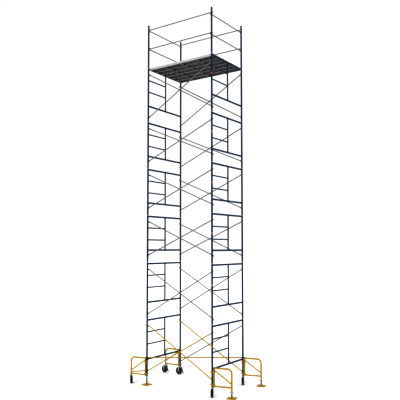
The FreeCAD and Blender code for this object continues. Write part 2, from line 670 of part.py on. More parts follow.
def caster_wheel(name):
    """Tyre with rounded shoulders on a wider hub, bored for the axle."""
    tyre = rod(f"{name}_tyre", "wheel_od", "wheel_width",
               ("caster_trail", "-wheel_width / 2", "wheel_od / 2"), TO_Y, QUARTER)
    doc.recompute()
    rounded = doc.addObject("Part::Fillet", f"{name}_rounded")
    rounded.Base = tyre
    rims = [i for i, edge in enumerate(tyre.Shape.Edges, start=1) if len(edge.Vertexes) == 1]
    rounded.Edges = [(i, size("tyre_round"), size("tyre_round")) for i in rims]
    hub = rod(f"{name}_hub", "hub_od", "hub_width",
              ("caster_trail", "-hub_width / 2", "wheel_od / 2"), TO_Y, QUARTER)
    bore = rod(f"{name}_bore", "axle_od + 2 * running_gap", "hub_width + 2",
               ("caster_trail", "-hub_width / 2 - 1", "wheel_od / 2"), TO_Y, QUARTER)
    return cut(f"{name}_body", join(f"{name}_blank", rounded, hub), bore)


def caster_brake(name):
    """Pivot barrel, lever with the shoe bar that bears on the tyre, and hanging pedal plate."""
    barrel = rod(f"{name}_barrel", "20", "pedal_width", ("-pivot_back", "-pedal_width / 2", "pivot_height"),
                 TO_Y, QUARTER)
    run = math.hypot(size("pivot_back") + size("caster_trail"), size("pivot_height") - size("wheel_od") / 2)
    reach = size("wheel_od") / 2 + 6.5
    shoe_x = size("caster_trail") - (size("pivot_back") + size("caster_trail")) * reach / run
    shoe_z = size("wheel_od") / 2 + (size("pivot_height") - size("wheel_od") / 2) * reach / run
    shoe = rod(f"{name}_shoe", "12", "pedal_width", (str(shoe_x), "-pedal_width / 2", str(shoe_z)),
               TO_Y, QUARTER)
    web_length = run - reach
    web = block(f"{name}_web", (str(web_length), "pedal_width", "8"),
                ("-pivot_back", "-pedal_width / 2", "pivot_height - 4"), (0, 1, 0),
                math.degrees(math.asin((size("pivot_height") - shoe_z) / web_length)))
    pedal = block(f"{name}_pedal", ("pedal_thick", "pedal_width", "pedal_length"),
                  ("-pivot_back - pedal_thick", "-pedal_width / 2", "pivot_height"), (0, 1, 0),
                  180.0 + PEDAL_SLOPE)
    hole = rod(f"{name}_hole", "pivot_od + 2 * running_gap", "pedal_width + 2",
               ("-pivot_back", "-pedal_width / 2 - 1", "pivot_height"), TO_Y, QUARTER)
    return [
        cut(f"{name}_hinge", barrel, hole),
        cut(f"{name}_lever", join(f"{name}_lever_blank", web, shoe), barrel),
        cut(f"{name}_plate", pedal, barrel),
    ]


def caster(tag, stem, at, heading):
    """Fork, wheel and brake of one caster."""
    node(f"caster_fork_{tag}", *caster_fork(f"{tag}_fork", stem), at=at, heading=heading)
    node(f"caster_wheel_{tag}", caster_wheel(f"{tag}_wheel"), at=at, heading=heading)
    node(f"caster_brake_{tag}", *caster_brake(f"{tag}_brake"), at=at, heading=heading)


for corner, heading in LEG_CASTER_HEADING.items():
    sx, sy = CORNERS[corner]
    caster(f"leg_{corner}", "leg_stem_od", (sx * HALF_LENGTH, sy * HALF_WIDTH, 0.0), heading)
for corner, heading in OUTRIGGER_CASTER_HEADING.items():
    caster(f"outrigger_{corner}", "post_stem_od", outrigger_end(corner), heading)


# ---------------------------------------------------------------- checks and export
doc.recompute()
faults = [obj.Name for obj in doc.Objects if "Invalid" in obj.State or "Error" in obj.State]
if faults:
    raise RuntimeError(f"objects that failed: {faults}")
os.makedirs("parts", exist_ok=True)
for part in NODES:
    shape = part.Shape
    if shape.isNull() or not shape.isValid() or not shape.Solids:
        raise RuntimeError(f"{part.Label} has no valid solid")
    shape.exportStep(f"parts/{part.Label}.step")
    print(f"{part.Label}: {len(shape.Solids)} solids, {shape.Volume / 1e6:.3f} litres")
print(f"{len(NODES)} nodes")
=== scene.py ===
"""Looks of a mobile tower scaffold: finishes, detailed pieces, floor, light and camera.

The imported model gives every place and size. Detailed pieces stand over the plain ones that they
replace, in metres, with +Z up and -Y towards the front face.
"""

import json
import logging
import math
from dataclasses import dataclass, field
from enum import Enum
from typing import Any, Optional, Sequence, Union

import bmesh
import bpy
import numpy as np
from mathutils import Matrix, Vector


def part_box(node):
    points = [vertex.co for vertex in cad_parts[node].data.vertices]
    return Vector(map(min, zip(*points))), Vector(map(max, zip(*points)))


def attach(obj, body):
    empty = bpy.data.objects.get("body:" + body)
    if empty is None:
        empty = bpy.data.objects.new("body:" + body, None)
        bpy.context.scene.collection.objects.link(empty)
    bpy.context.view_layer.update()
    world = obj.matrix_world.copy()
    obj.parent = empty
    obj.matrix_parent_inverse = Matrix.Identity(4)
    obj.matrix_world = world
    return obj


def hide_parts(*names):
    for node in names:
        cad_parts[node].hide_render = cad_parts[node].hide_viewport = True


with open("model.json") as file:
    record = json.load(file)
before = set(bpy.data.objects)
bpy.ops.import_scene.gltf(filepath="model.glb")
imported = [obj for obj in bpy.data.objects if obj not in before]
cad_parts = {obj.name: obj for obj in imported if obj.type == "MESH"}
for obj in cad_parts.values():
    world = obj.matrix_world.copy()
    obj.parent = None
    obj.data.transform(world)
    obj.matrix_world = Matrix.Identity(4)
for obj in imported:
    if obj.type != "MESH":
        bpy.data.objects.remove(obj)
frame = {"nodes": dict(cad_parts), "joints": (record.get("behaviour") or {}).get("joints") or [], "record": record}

LOG = logging.getLogger("tower")
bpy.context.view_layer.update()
Number = Union[int, float, "Value"]
Colour = tuple[float, float, float]
TURN = 2.0 * math.pi
QUARTER = math.pi / 2
TINY = 1e-6
STOREYS = 6
PLANKS = 6
HEADER_RADIUS = 0.0211


# ------------------------------------------------------------------ shader helpers
class Value:
    """Output of a shader node, on which plain arithmetic adds Math nodes."""

    def __init__(self, paint: "Paint", socket: bpy.types.NodeSocket) -> None:
        """Wraps a socket.

        Args:
            paint: the tree that the socket belongs to.
            socket: the output that is read.
        """
        self.paint = paint
        self.socket = socket

    def _math(self, operation: str, *terms: Number) -> "Value":
        """Adds one Math node that reads the terms in order."""
        return self.paint.node("ShaderNodeMath", {"operation": operation}, dict(enumerate(terms)))

    def __add__(self, other: Number) -> "Value":
        """Sum."""
        return self._math("ADD", self, other)

    def __rsub__(self, other: Number) -> "Value":
        """Difference with this value taken away."""
        return self._math("SUBTRACT", other, self)

    def __mul__(self, other: Number) -> "Value":
        """Product."""
        return self._math("MULTIPLY", self, other)

    __radd__ = __add__
    __rmul__ = __mul__

    def band(self, low: float, high: float) -> "Value":
        """Smooth step from 0 at low to 1 at high."""
        return self.paint.node(
            "ShaderNodeMapRange", {"interpolation_type": "SMOOTHSTEP"}, {0: self, 1: low, 2: high}
        )


class Paint:
    """One material's node tree, ending in a Principled shader."""

    def __init__(self, name: str) -> None:
        """Starts an empty tree.

        Args:
            name: the material's name.
        """
        self.material = bpy.data.materials.new(name)
        self.material.use_nodes = True
        self.tree = self.material.node_tree
        self.tree.nodes.clear()
        self.shader = self.tree.nodes.new("ShaderNodeBsdfPrincipled")
        output = self.tree.nodes.new("ShaderNodeOutputMaterial")
        self.tree.links.new(self.shader.outputs[0], output.inputs[0])
        self.place = self.node("ShaderNodeTexCoord", output="Object")

    def node(
        self,
        kind: str,
        settings: Optional[dict[str, Any]] = None,
        inputs: Optional[dict[Union[int, str], Any]] = None,
        output: Union[int, str] = 0,
    ) -> Value:
        """Adds a node, sets it up, and then fills its sockets.

        Args:
            kind: the node's type.
            settings: the node's own properties.
            inputs: a value or a Value for each socket.
            output: the output that is returned.

        Returns:
            The chosen output.
        """
        made = self.tree.nodes.new(kind)
        for key, setting in (settings or {}).items():
            setattr(made, key, setting)
        for key, value in (inputs or {}).items():
            self.feed(made.inputs[key], value)
        return Value(self, made.outputs[output])

    def feed(self, socket: bpy.types.NodeSocket, value: Any) -> None:
        """Links a Value to a socket, or sets the socket's own value."""
        if isinstance(value, Value):
            self.tree.links.new(value.socket, socket)
        elif isinstance(value, tuple) and len(value) == 3 and socket.type == "RGBA":
            socket.default_value = (*value, 1.0)
        else:
            socket.default_value = value

    def stretched(self, scale: Colour) -> Value:
        """Object coordinates multiplied along each axis."""
        return self.node("ShaderNodeMapping", {}, {"Vector": self.place, "Scale": scale})

    def part(self, vector: Value, index: int) -> Value:
        """One coordinate of a vector."""
        return self.node("ShaderNodeSeparateXYZ", {}, {0: vector}, index)

    def noise(
        self, scale: float, detail: float = 3.0, rough: float = 0.55, at: Optional[Value] = None
    ) -> Value:
        """Fractal noise from 0 to 1."""
        sockets = {"Vector": at or self.place, "Scale": scale, "Detail": detail, "Roughness": rough}
        return self.node("ShaderNodeTexNoise", {}, sockets)

    def grains(self, scale: float) -> Value:
        """Shade from 0 to 1 that changes from cell to cell."""
        sockets = {"Vector": self.place, "Scale": scale}
        cells = self.node("ShaderNodeTexVoronoi", {"feature": "F1"}, sockets, "Color")
        return self.node("ShaderNodeSeparateColor", {}, {0: cells}, 0)

    def mix(self, amount: Number, low: Union[Colour, Value], high: Union[Colour, Value]) -> Value:
        """Blend of two colours."""
        return self.node("ShaderNodeMix", {"data_type": "RGBA"}, {0: amount, 6: low, 7: high}, 2)

    def relief(self, height: Value, depth: float, strength: float) -> Value:
        """Bump from a height between 0 and 1 and a depth in metres."""
        sockets = {"Strength": strength, "Distance": depth, "Height": height}
        return self.node("ShaderNodeBump", {}, sockets)

    def done(self, **sockets: Any) -> bpy.types.Material:
        """Fills the shader's sockets, named with underscores, and returns the material."""
        for key, value in sockets.items():
            self.feed(self.shader.inputs[key.replace("_", " ")], value)
        return self.material


# ------------------------------------------------------------------ finishes
@dataclass(frozen=True)
class PaintedTube:
    """Sprayed paint with a fine peel, uneven tone, road grime and small chips down to metal."""

    name: str
    fresh: Colour
    faded: Colour
    chip: Colour = (0.20, 0.19, 0.18)
    grime: Colour = (0.10, 0.085, 0.065)
    wear: float = 0.67
    gloss: float = 0.42

    def make(self) -> bpy.types.Material:
        """Builds the material."""
        paint = Paint(self.name)
        tone = paint.noise(2.3, 4.0).band(0.30, 0.72)
        spots = paint.noise(70.0, 5.0, 0.6)
        patches = paint.noise(6.0, 2.0)
        chips = (spots * 0.72 + patches * 0.34).band(self.wear, self.wear + 0.03)
        dirt = paint.noise(16.0, 6.0, 0.65).band(0.52, 0.80) * 0.35
        scuff = paint.noise(9.0, 4.0, 0.6, paint.stretched((6.0, 6.0, 0.6))).band(0.60, 0.75) * 0.30
        skin = paint.mix(tone, self.fresh, self.faded)
        soiled = paint.mix(dirt, skin, self.grime)
        rubbed = paint.mix(scuff, soiled, self.faded)
        peel = paint.noise(520.0, 2.0)
        return paint.done(
            Base_Color=paint.mix(chips, rubbed, self.chip),
            Roughness=self.gloss + dirt * 0.5 + scuff * 0.5 + chips * 0.15,
            Metallic=chips * 0.6,
            Specular_IOR_Level=0.32,
            Normal=paint.relief(peel * 0.25 + (1.0 - chips) * 0.75, 0.00025, 0.6),
        )


@dataclass(frozen=True)
class Galvanised:
    """Hot-dipped zinc: frost-like spangles, dull streaks and white bloom."""

    name: str
    bright: Colour
    dull: Colour
    spangle: float = 95.0
    metal: float = 0.72
    rough: float = 0.40

    def make(self) -> bpy.types.Material:
        """Builds the material."""
        paint = Paint(self.name)
        grain = paint.grains(self.spangle)
        bloom = paint.noise(7.0, 5.0, 0.62).band(0.46, 0.78)
        streaks = paint.noise(30.0, 4.0, 0.6, paint.stretched((1.0, 1.0, 0.12)))
        zinc = paint.mix(grain * 0.55 + streaks * 0.30, self.bright, self.dull)
        aged = paint.mix(bloom * 0.45, zinc, tuple(0.8 * c for c in self.dull))
        return paint.done(
            Base_Color=aged,
            Roughness=self.rough + grain * 0.14 + bloom * 0.16,
            Metallic=self.metal - bloom * 0.35,
            Normal=paint.relief(grain * 0.4 + streaks * 0.6, 0.0002, 0.5),
        )


@dataclass(frozen=True)
class PlankSheet:
    """Rolled sheet steel: long roll lines, scuffed tops, and painted shade that darkens the underside and the
    insides of the channel.
    """

    name: str
    bright: Colour
    dull: Colour
    # under: painted shade, the colour of the underside and of the channel's inner skin; the stains also darken
    # towards it
    under: Colour
    metal: float = 0.55
    lip_rise: float = 0.008
    lip_shade: float = 0.88
    side_inset: float = 0.0012
    soft_z: float = 0.002
    soft_y: float = 0.0005

    def painted_shade_mask(self, paint: Paint) -> Value:
        """Mask of painted shade on the inner skin: 0 on the tops and on the platform's outer sides, less on the
        lips.
        """
        low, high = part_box("plank_1")
        lips, edge = low.z + self.lip_rise, max(-low.y, high.y) - self.side_inset
        up = paint.part(paint.node("ShaderNodeTexCoord", output="Normal"), 2).band(0.2, 0.5)
        y, z = paint.part(paint.place, 1), paint.part(paint.place, 2)
        flank = (y * y).band((edge - self.soft_y) ** 2, (edge + self.soft_y) ** 2)
        above = z.band(lips - self.soft_z, lips + self.soft_z)
        return (1.0 - up) * (1.0 - flank) * (above * (1.0 - self.lip_shade) + self.lip_shade)

    def make(self) -> bpy.types.Material:
        """Builds the material."""
        paint = Paint(self.name)
        lines = paint.noise(60.0, 3.0, 0.6, paint.stretched((0.03, 1.0, 1.0)))
        grain = paint.grains(60.0)
        stain = paint.noise(4.0, 6.0, 0.65).band(0.45, 0.75)
        sheet = paint.mix(lines * 0.6 + grain * 0.15, self.bright, self.dull)
        # Painted shade: the inner skin and underside turn to the dark under colour
        shaded = paint.mix(self.painted_shade_mask(paint), sheet, self.under)
        return paint.done(
            # Real stains darken towards the same painted-shade colour
            Base_Color=paint.mix(stain * 0.2, shaded, self.under),
            Roughness=0.50 + grain * 0.08 + stain * 0.18,
            Metallic=self.metal - stain * 0.15,
            Normal=paint.relief(lines * 0.85 + grain * 0.15, 0.0002, 0.3),
        )


@dataclass(frozen=True)
class RollingRubber:
    """Hard black rubber with a matt, dusty tread and faint mould swirls."""

    name: str
    black: Colour
    dust: Colour

    def make(self) -> bpy.types.Material:
        """Builds the material."""
        paint = Paint(self.name)
        dusty = paint.noise(28.0, 6.0, 0.68).band(0.48, 0.80)
        fine = paint.noise(420.0, 3.0)
        swirl = paint.noise(55.0, 2.0)
        return paint.done(
            Base_Color=paint.mix(dusty * 0.55, self.black, self.dust),
            Roughness=0.62 + dusty * 0.22,
            Specular_IOR_Level=0.35,
            Normal=paint.relief(fine * 0.5 + swirl * 0.5, 0.0004, 0.5),
        )


@dataclass(frozen=True)
class OiledSteel:
    """Dark machined or blackened steel with an oil film, grit and rust in the low places."""

    name: str
    steel: Colour
    rust: Colour
    rusty: float = 0.35
    rough: float = 0.45

    def make(self) -> bpy.types.Material:
        """Builds the material."""
        paint = Paint(self.name)
        film = paint.noise(18.0, 5.0, 0.6)
        rust = paint.noise(85.0, 6.0, 0.7).band(0.55, 0.70) * self.rusty
        tooling = paint.noise(240.0, 2.0, 0.5, paint.stretched((1.0, 1.0, 4.0)))
        tone = paint.mix(film * 0.6, self.steel, tuple(0.6 * c for c in self.steel))
        return paint.done(
            Base_Color=paint.mix(rust, tone, self.rust),
            Roughness=self.rough + rust * 0.4 + film * 0.1,
            Metallic=0.8 - rust * 0.8,
            Normal=paint.relief(tooling * 0.6 + rust * 0.4, 0.0002, 0.6),
        )


@dataclass(frozen=True)
class PlainLabel:
    """Weathered vinyl label in one colour, with no print on it."""

    name: str
    ink: Colour

    def make(self) -> bpy.types.Material:
        """Builds the material."""
        paint = Paint(self.name)
        faded = paint.noise(40.0, 4.0).band(0.35, 0.75)
        crease = paint.noise(160.0, 3.0)
        pale = tuple(0.5 + 0.5 * c for c in self.ink)
        return paint.done(
            Base_Color=paint.mix(faded * 0.6, self.ink, pale),
            Roughness=0.45 + faded * 0.2,
            Normal=paint.relief(crease, 0.0001, 0.4),
        )


@dataclass(frozen=True)
class StudioFloor:
    """Seamless pale floor with a barely uneven, matt surface."""

    name: str
    pale: Colour

    def make(self) -> bpy.types.Material:
        """Builds the material."""
        paint = Paint(self.name)
        cloud = paint.noise(0.35, 3.0)
        shade = paint.mix(cloud * 0.5, self.pale, tuple(0.985 * c for c in self.pale))
        return paint.done(Base_Color=shade, Roughness=0.85, Specular_IOR_Level=0.1)


class Coat(Enum):
    """Every finish on the scaffold."""

    NAVY = PaintedTube(
        "navy_tube_paint", (0.012, 0.050, 0.108), (0.017, 0.062, 0.128), wear=0.72, gloss=0.42
    )
    YELLOW = PaintedTube(
        "yellow_tube_paint", (0.49, 0.315, 0.027), (0.43, 0.280, 0.029), chip=(0.18, 0.12, 0.07),
        grime=(0.14, 0.075, 0.02), wear=0.70, gloss=0.42,
    )
    GALVANISED = Galvanised(
        "galvanised_brace_tube", (0.315, 0.310, 0.302), (0.235, 0.231, 0.224), metal=0.35, rough=0.46
    )
    ZINC = Galvanised(
        "zinc_plated_hardware", (0.62, 0.63, 0.64), (0.44, 0.45, 0.46), spangle=420.0, rough=0.34
    )
    # The plank's third colour is painted shade for its underside and channel insides, and also the colour of its
    # stains
    PLANK = PlankSheet(
        "plank_sheet_steel", (0.56, 0.56, 0.56), (0.46, 0.46, 0.46), (0.265, 0.259, 0.254), metal=0.10
    )
    CLAMP = OiledSteel("clamp_black_steel", (0.035, 0.034, 0.034), (0.10, 0.045, 0.02), 0.30, 0.50)
    CAST = OiledSteel("wheel_cast_iron", (0.24, 0.235, 0.23), (0.12, 0.08, 0.05), 0.20, 0.50)
    SCREW = OiledSteel("jack_screw_steel", (0.18, 0.165, 0.15), (0.14, 0.06, 0.025), 0.45, 0.38)
    TYRE = RollingRubber("caster_tyre_rubber", (0.012, 0.012, 0.012), (0.075, 0.072, 0.066))
    RED_LABEL = PlainLabel("plain_red_label", (0.50, 0.13, 0.10))
    FLOOR = StudioFloor("studio_floor", (0.93, 0.93, 0.93))

    def material(self) -> bpy.types.Material:
        """Returns this coat's material, and builds it the first time."""
        found = bpy.data.materials.get(self.value.name)
        return found or self.value.make()


# ------------------------------------------------------------------ surfaces
def ring(count: int, radius: float = 1.0) -> np.ndarray:
    """Points of a circle: (cos a, sin a) times the radius, for evenly spaced angles a."""
    angle = np.linspace(0.0, TURN, count, endpoint=False)
    return radius * np.stack((np.cos(angle), np.sin(angle)), axis=1)


def turned(points: np.ndarray, origin: Sequence[float], heading: float) -> np.ndarray:
    """Turns points about the vertical by a heading in radians, then moves them to an origin."""
    c, s = math.cos(heading), math.sin(heading)
    spin = np.array(((c, s, 0.0), (-s, c, 0.0), (0.0, 0.0, 1.0)))
    return points @ spin + np.asarray(origin, float)


def squarish(wave: np.ndarray, power: Union[float, np.ndarray]) -> np.ndarray:
    """Wave with its size raised to a power and its sign kept: a circle's waves then make a soft square."""
    return np.sign(wave) * np.abs(wave) ** power


def mirrored(half: list[tuple[float, float]]) -> list[tuple[float, float]]:
    """Section of a wheel from the points of its half, as (radius, offset)."""
    return half + [(radius, -offset) for radius, offset in half[::-1]]


@dataclass
class Surface:
    """Growing set of points and faces that becomes one piece."""

    points: list[np.ndarray] = field(default_factory=list)
    faces: list[list[int]] = field(default_factory=list)
    count: int = 0

    def add(self, points: np.ndarray, faces: list[list[int]]) -> "Surface":
        """Adds loose points and the faces between them."""
        self.points.append(np.asarray(points, float).reshape(-1, 3))
        self.faces.extend([[index + self.count for index in face] for face in faces])
        self.count += len(self.points[-1])
        return self

    def net(self, points: np.ndarray, closed: bool = False) -> "Surface":
        """Adds a row of loops, each point joined to the next in its loop and to the one in the next loop.

        Args:
            points: an array of loops by points by 3.
            closed: whether the last loop joins the first; otherwise one face closes each end.

        Returns:
            This surface.
        """
        rows, cols = points.shape[:2]
        index = np.arange(rows * cols).reshape(rows, cols)
        if closed:
            index = np.concatenate((index, index[:1]), axis=0)
        index = np.concatenate((index, index[:, :1]), axis=1)
        quads = np.stack((index[:-1, :-1], index[:-1, 1:], index[1:, 1:], index[1:, :-1]), axis=-1)
        faces = quads.reshape(-1, 4).tolist()
        if not closed:
            faces += [list(range(cols))[::-1], list(range((rows - 1) * cols, rows * cols))]
        return self.add(points, faces)

    def lathe(self, profile: Sequence[tuple[float, float]], sides: int, closed: bool, axis: str = "z",
              centre: Sequence[float] = (0.0, 0.0, 0.0)) -> "Surface":
        """Turns a profile of (radius, height) about an axis: (r cos a, r sin a, h) for every angle a.

        Args:
            profile: the points of the section.
            sides: how many angles.
            closed: whether the section is a closed loop, as for a bored part.
            axis: "z", or "y" for a wheel.
            centre: a point on the axis at height 0.

        Returns:
            This surface.
        """
        section = np.asarray(profile, float)
        circle = ring(sides)
        flat = section[:, None, 0, None] * circle[None]
        rise = np.broadcast_to(section[:, None, 1, None], flat.shape[:2] + (1,))
        if axis == "z":
            points = np.concatenate((flat, rise), axis=2)
        else:
            points = np.concatenate((flat[..., :1], rise, flat[..., 1:]), axis=2)
        return self.net(points + np.asarray(centre, float), closed)

    def prism(self, outline: np.ndarray, low: float, high: float, across: str = "y") -> "Surface":
        """Carries an outline from low to high; the outline lies in X-Z, or in X-Y when across is z."""
        flat = np.asarray(outline, float)
        ends = []
        for level in (low, high):
            third = np.full(len(flat), level)
            columns = (flat[:, 0], third, flat[:, 1]) if across == "y" else (flat[:, 0], flat[:, 1], third)
            ends.append(np.stack(columns, axis=1))
        return self.net(np.stack(ends))

    def hoop(self, path: np.ndarray, radius: Union[float, np.ndarray], sides: int = 5) -> "Surface":
        """Carries a circle round a closed path: at each point it spans two directions square to it.

        Args:
            path: points by 3.
            radius: one radius, or one for each point.
            sides: corners of the circle.

        Returns:
            This surface.
        """
        ahead = np.roll(path, -1, 0) - np.roll(path, 1, 0)
        ahead /= np.linalg.norm(ahead, axis=1, keepdims=True)
        first = np.cross(ahead, np.eye(3)[int(np.argmin(np.ptp(path, axis=0)))])
        first /= np.linalg.norm(first, axis=1, keepdims=True)
        second = np.cross(ahead, first)
        circle = ring(sides)[None]
        size = np.broadcast_to(np.asarray(radius, float), (len(path),))[:, None, None]
        spokes = circle[..., :1] * first[:, None] + circle[..., 1:] * second[:, None]
        return self.net(path[:, None] + size * spokes, closed=True)

    def moved(self, origin: Sequence[float], heading: float = 0.0) -> "Surface":
        """Turns and moves everything added so far."""
        self.points = [turned(points, origin, heading) for points in self.points]
        return self

    def tilted(self, slope: float) -> "Surface":
        """Turns everything about +Y, so that a bar along +X descends by the slope in radians."""
        c, s = math.cos(slope), math.sin(slope)
        turn = np.array(((c, 0.0, -s), (0.0, 1.0, 0.0), (s, 0.0, c)))
        self.points = [points @ turn for points in self.points]
        return self

    def take(self, other: "Surface") -> "Surface":
        """Adds a copy of another surface."""
        return self.add(np.concatenate(other.points), other.faces)

    def piece(self, name: str, coat: Coat, body: str, slot: str, nodes: Sequence[str] = (),
              crease: float = 38.0) -> None:
        """Makes the piece, with its faces outwards, and lets it ride.

        Args:
            name: the piece's name.
            coat: its finish.
            body: the body that it moves with.
            slot: the record's material slot; not used.
            nodes: the plain nodes that it stands for.
            crease: the angle in degrees past which an edge stays sharp.
        """
        mesh = bpy.data.meshes.new(name)
        mesh.from_pydata(np.concatenate(self.points).tolist(), [], self.faces)
        shell = bmesh.new()
        shell.from_mesh(mesh)
        bmesh.ops.recalc_face_normals(shell, faces=shell.faces)
        shell.to_mesh(mesh)
        shell.free()
        mesh.shade_smooth()
        mesh.set_sharp_from_angle(angle=math.radians(crease))
        mesh.materials.append(coat.material())
        made = bpy.data.objects.new(name, mesh)
        bpy.context.scene.collection.objects.link(made)
        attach(made, body)
        if nodes:
            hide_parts(*nodes)
        LOG.info("%s: %d faces on %s", name, len(mesh.polygons), body)


def saddle(main_radius: float, branch_radius: float, bead: float, sides: int = 16) -> Surface:
    """Weld bead round a branch tube along +X that meets an upright main tube on the origin.

    The bead's path is a circle of the branch's radius, pushed out along +X to the main tube's
    wall: x is the root of the main radius squared less the sideways offset squared.

    Args:
        main_radius: radius of the upright tube.
        branch_radius: radius of the branch.
        bead: radius of the bead.
        sides: points on the path.

    Returns:
        The bead.
    """
    circle = ring(sides, branch_radius + 0.2 * bead)
    out = np.sqrt(np.maximum(main_radius**2 - circle[:, 0] ** 2, 1e-8))
    path = np.stack((out, circle[:, 0], circle[:, 1]), axis=1)
    ripple = bead * (1.0 + 0.12 * np.cos(np.arange(sides) * TURN / 4))
    return Surface().hoop(path, ripple)


def set_down(
    rows: Sequence[tuple[str, Surface, Coat, str, str, bool]], at: Sequence[float], heading: float
) -> None:
    """Moves surfaces to their place and makes their pieces.

    Args:
        rows: name, surface, finish, body and slot, and whether it stands for the body's own node.
        at: the point that the surfaces' origin goes to.
        heading: the turn about the vertical, in radians.
    """
    for name, made, coat, body, slot, stands_in in rows:
        made.moved(at, heading).piece(name, coat, body, slot, (body,) if stands_in else ())


# ------------------------------------------------------------------ layout read from the frame
class Face(Enum):
    """Long faces of the tower, with the sign of their Y."""

    FRONT = -1
    BACK = 1

    @property
    def heading(self) -> float:
        """Direction of a bar seen from its first eye, with its outer side outwards."""
        return math.pi if self is Face.BACK else 0.0


@dataclass
class Lift:
    """One storey: the height of its legs' feet, and its pitch."""

    base: float
    pitch: float

    @property
    def top(self) -> float:
        """Height of the next storey's feet."""
        return self.base + self.pitch

    @property
    def tall(self) -> bool:
        """Whether the storey has the taller of the two frames."""
        return self.pitch > 1.45

    @property
    def stud_heights(self) -> tuple[float, float]:
        """Heights of the upper and the lower brace studs."""
        upper = self.top - 0.190
        return upper, upper - (1.2192 if self.tall else 0.920)


@dataclass
class Layout:
    """Where the legs, lifts and platform are, read from the frame's boxes."""

    leg_radius: float = 0.02145
    collar: float = 0.012
    lifts: list[Lift] = field(default_factory=list)
    half_length: float = 0.0
    half_width: float = 0.0
    deck: float = 0.0

    def __post_init__(self) -> None:
        """Measures the boxes of the left-hand ladder frames."""
        for number in range(1, STOREYS + 1):
            low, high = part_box(f"frame_left_{number}")
            self.lifts.append(Lift(low.z, high.z - low.z + self.collar))
        self.half_length = -(low.x + high.x) / 2
        self.half_width = (high.y - low.y) / 2 - self.leg_radius
        self.deck = self.lifts[-1].top


LAYOUT = Layout()
JOINTS = {joint["name"]: joint for joint in frame["joints"]}
ENDS = {"left": -1, "right": 1}
CORNERS = {"front_left": (-1, -1), "front_right": (1, -1), "back_left": (-1, 1), "back_right": (1, 1)}


def leg_at(corner: str) -> np.ndarray:
    """Point on the ground on a corner leg's axis."""
    sx, sy = CORNERS[corner]
    return np.array((sx * LAYOUT.half_length, sy * LAYOUT.half_width, 0.0))


# ------------------------------------------------------------------ braces and rails
GREY_TUBE = (Coat.GALVANISED, "galvanised_tube")


@dataclass
class FlatEndBar:
    """Round tube whose ends are pressed flat and holed for a stud."""

    tube: float = 0.0254
    thick: float = 0.005
    eye: float = 0.0150
    hole: float = 0.0085
    neck: float = 0.028
    full: float = 0.082
    lap: float = 0.006
    overlap: float = 0.002
    plain: float = 0.12
    corners: int = 28

    def surface(self, length: float) -> Surface:
        """Builds a bar along +X, with its first eye on the origin and its outer face at Y = 0.

        The section is a rounded oval: sideways it is centre + depth * cos, and up it is width *
        sin, each raised to a power that squares the flat part. Width, depth, centre and power go
        from flat to round by a smooth step of the distance to the nearer eye. Each eye is a flat
        ring between the hole and the outline of a tongue with a round end.

        Args:
            length: distance between the two eyes.

        Returns:
            The bar.
        """
        press = np.linspace(self.neck - self.lap, self.full, 12)
        plain = np.linspace(self.plain, length - self.plain, 7)
        along = np.concatenate((press, plain, length - press[::-1]))
        near = np.minimum(along, length - along)
        step = np.clip((near - self.neck) / (self.full - self.neck), 0.0, 1.0)
        step = (step * step * (3.0 - 2.0 * step))[:, None]
        width = self.eye + (self.tube / 2 - self.eye) * step
        depth = self.thick / 2 + (self.tube / 2 - self.thick / 2) * step
        power = 0.45 + 0.55 * step
        oval = squarish(ring(16)[None], power[..., None])
        station = np.broadcast_to(along[:, None], oval.shape[:2])
        points = (station, depth + depth * oval[..., 0], width * oval[..., 1])
        made = Surface().net(np.stack(points, axis=2))
        c, s = ring(self.corners).T
        sides = self.eye / np.maximum(np.abs(s), TINY)
        end = (self.neck + self.overlap) / np.maximum(c, TINY)
        outline = np.where(c > 0.0, np.minimum(sides, end), self.eye)
        rows = ((self.hole, 0.0), (outline, 0.0), (outline, self.thick), (self.hole, self.thick))
        for start, way in ((0.0, 1.0), (length, -1.0)):
            loops = [(start + way * r * c, np.full(self.corners, y), r * s) for r, y in rows]
            made.net(np.stack([np.stack(loop, axis=1) for loop in loops]), closed=True)
        return made


@dataclass
class CrossBraces:
    """Two crossed bars on each face of each lift, riveted where they pass."""

    bar: FlatEndBar = field(default_factory=FlatEndBar)
    first: float = 0.0245
    second: float = 0.0514
    grip: float = 0.0523

    def laid(self, lift: Lift, face: Face, rising: bool) -> Surface:
        """Builds one bar in its place.

        Args:
            lift: the storey.
            face: the long face.
            rising: whether it rises towards +X.

        Returns:
            The bar.
        """
        upper, lower = lift.stud_heights
        run = 2 * LAYOUT.half_length
        slope = math.atan2(upper - lower, run)
        high_start = rising == (face is Face.BACK)
        made = self.bar.surface(math.hypot(run, upper - lower))
        made.tilted(slope if high_start else -slope)
        layer = self.first if rising else self.second
        height = upper if high_start else lower
        origin = (face.value * LAYOUT.half_length, face.value * (LAYOUT.half_width - layer), height)
        return made.moved(origin, face.heading)

    def rivet(self, lift: Lift, face: Face) -> Surface:
        """Builds the domed rivet through the crossing."""
        dome = [(0.0005, -0.0035), (0.0045, -0.0030), (0.0075, -0.0010), (0.0075, 0.0), (0.005, 0.0)]
        profile = dome + [(r, self.grip - y) for r, y in dome[::-1]]
        origin = (0.0, face.value * (LAYOUT.half_width - self.first), sum(lift.stud_heights) / 2)
        return Surface().lathe(profile, 14, False, "y").moved(origin, face.heading)

    def build(self) -> None:
        """Makes the yellow, the tall and the short set."""
        sets = {"yellow": Surface(), "tall": Surface(), "short": Surface()}
        for number, lift in enumerate(LAYOUT.lifts):
            kind = "tall" if lift.tall else "short"
            for face in Face:
                sets[kind].take(self.rivet(lift, face))
                for rising in (True, False):
                    painted = number == 0 and not (face is Face.BACK and rising)
                    sets["yellow" if painted else kind].take(self.laid(lift, face, rising))
        for kind, made in sets.items():
            coat, slot = GREY_TUBE if kind != "yellow" else (Coat.YELLOW, "yellow_paint")
            made.piece(f"flat_end_braces_{kind}", coat, "tower", slot, (f"cross_braces_{kind}",))


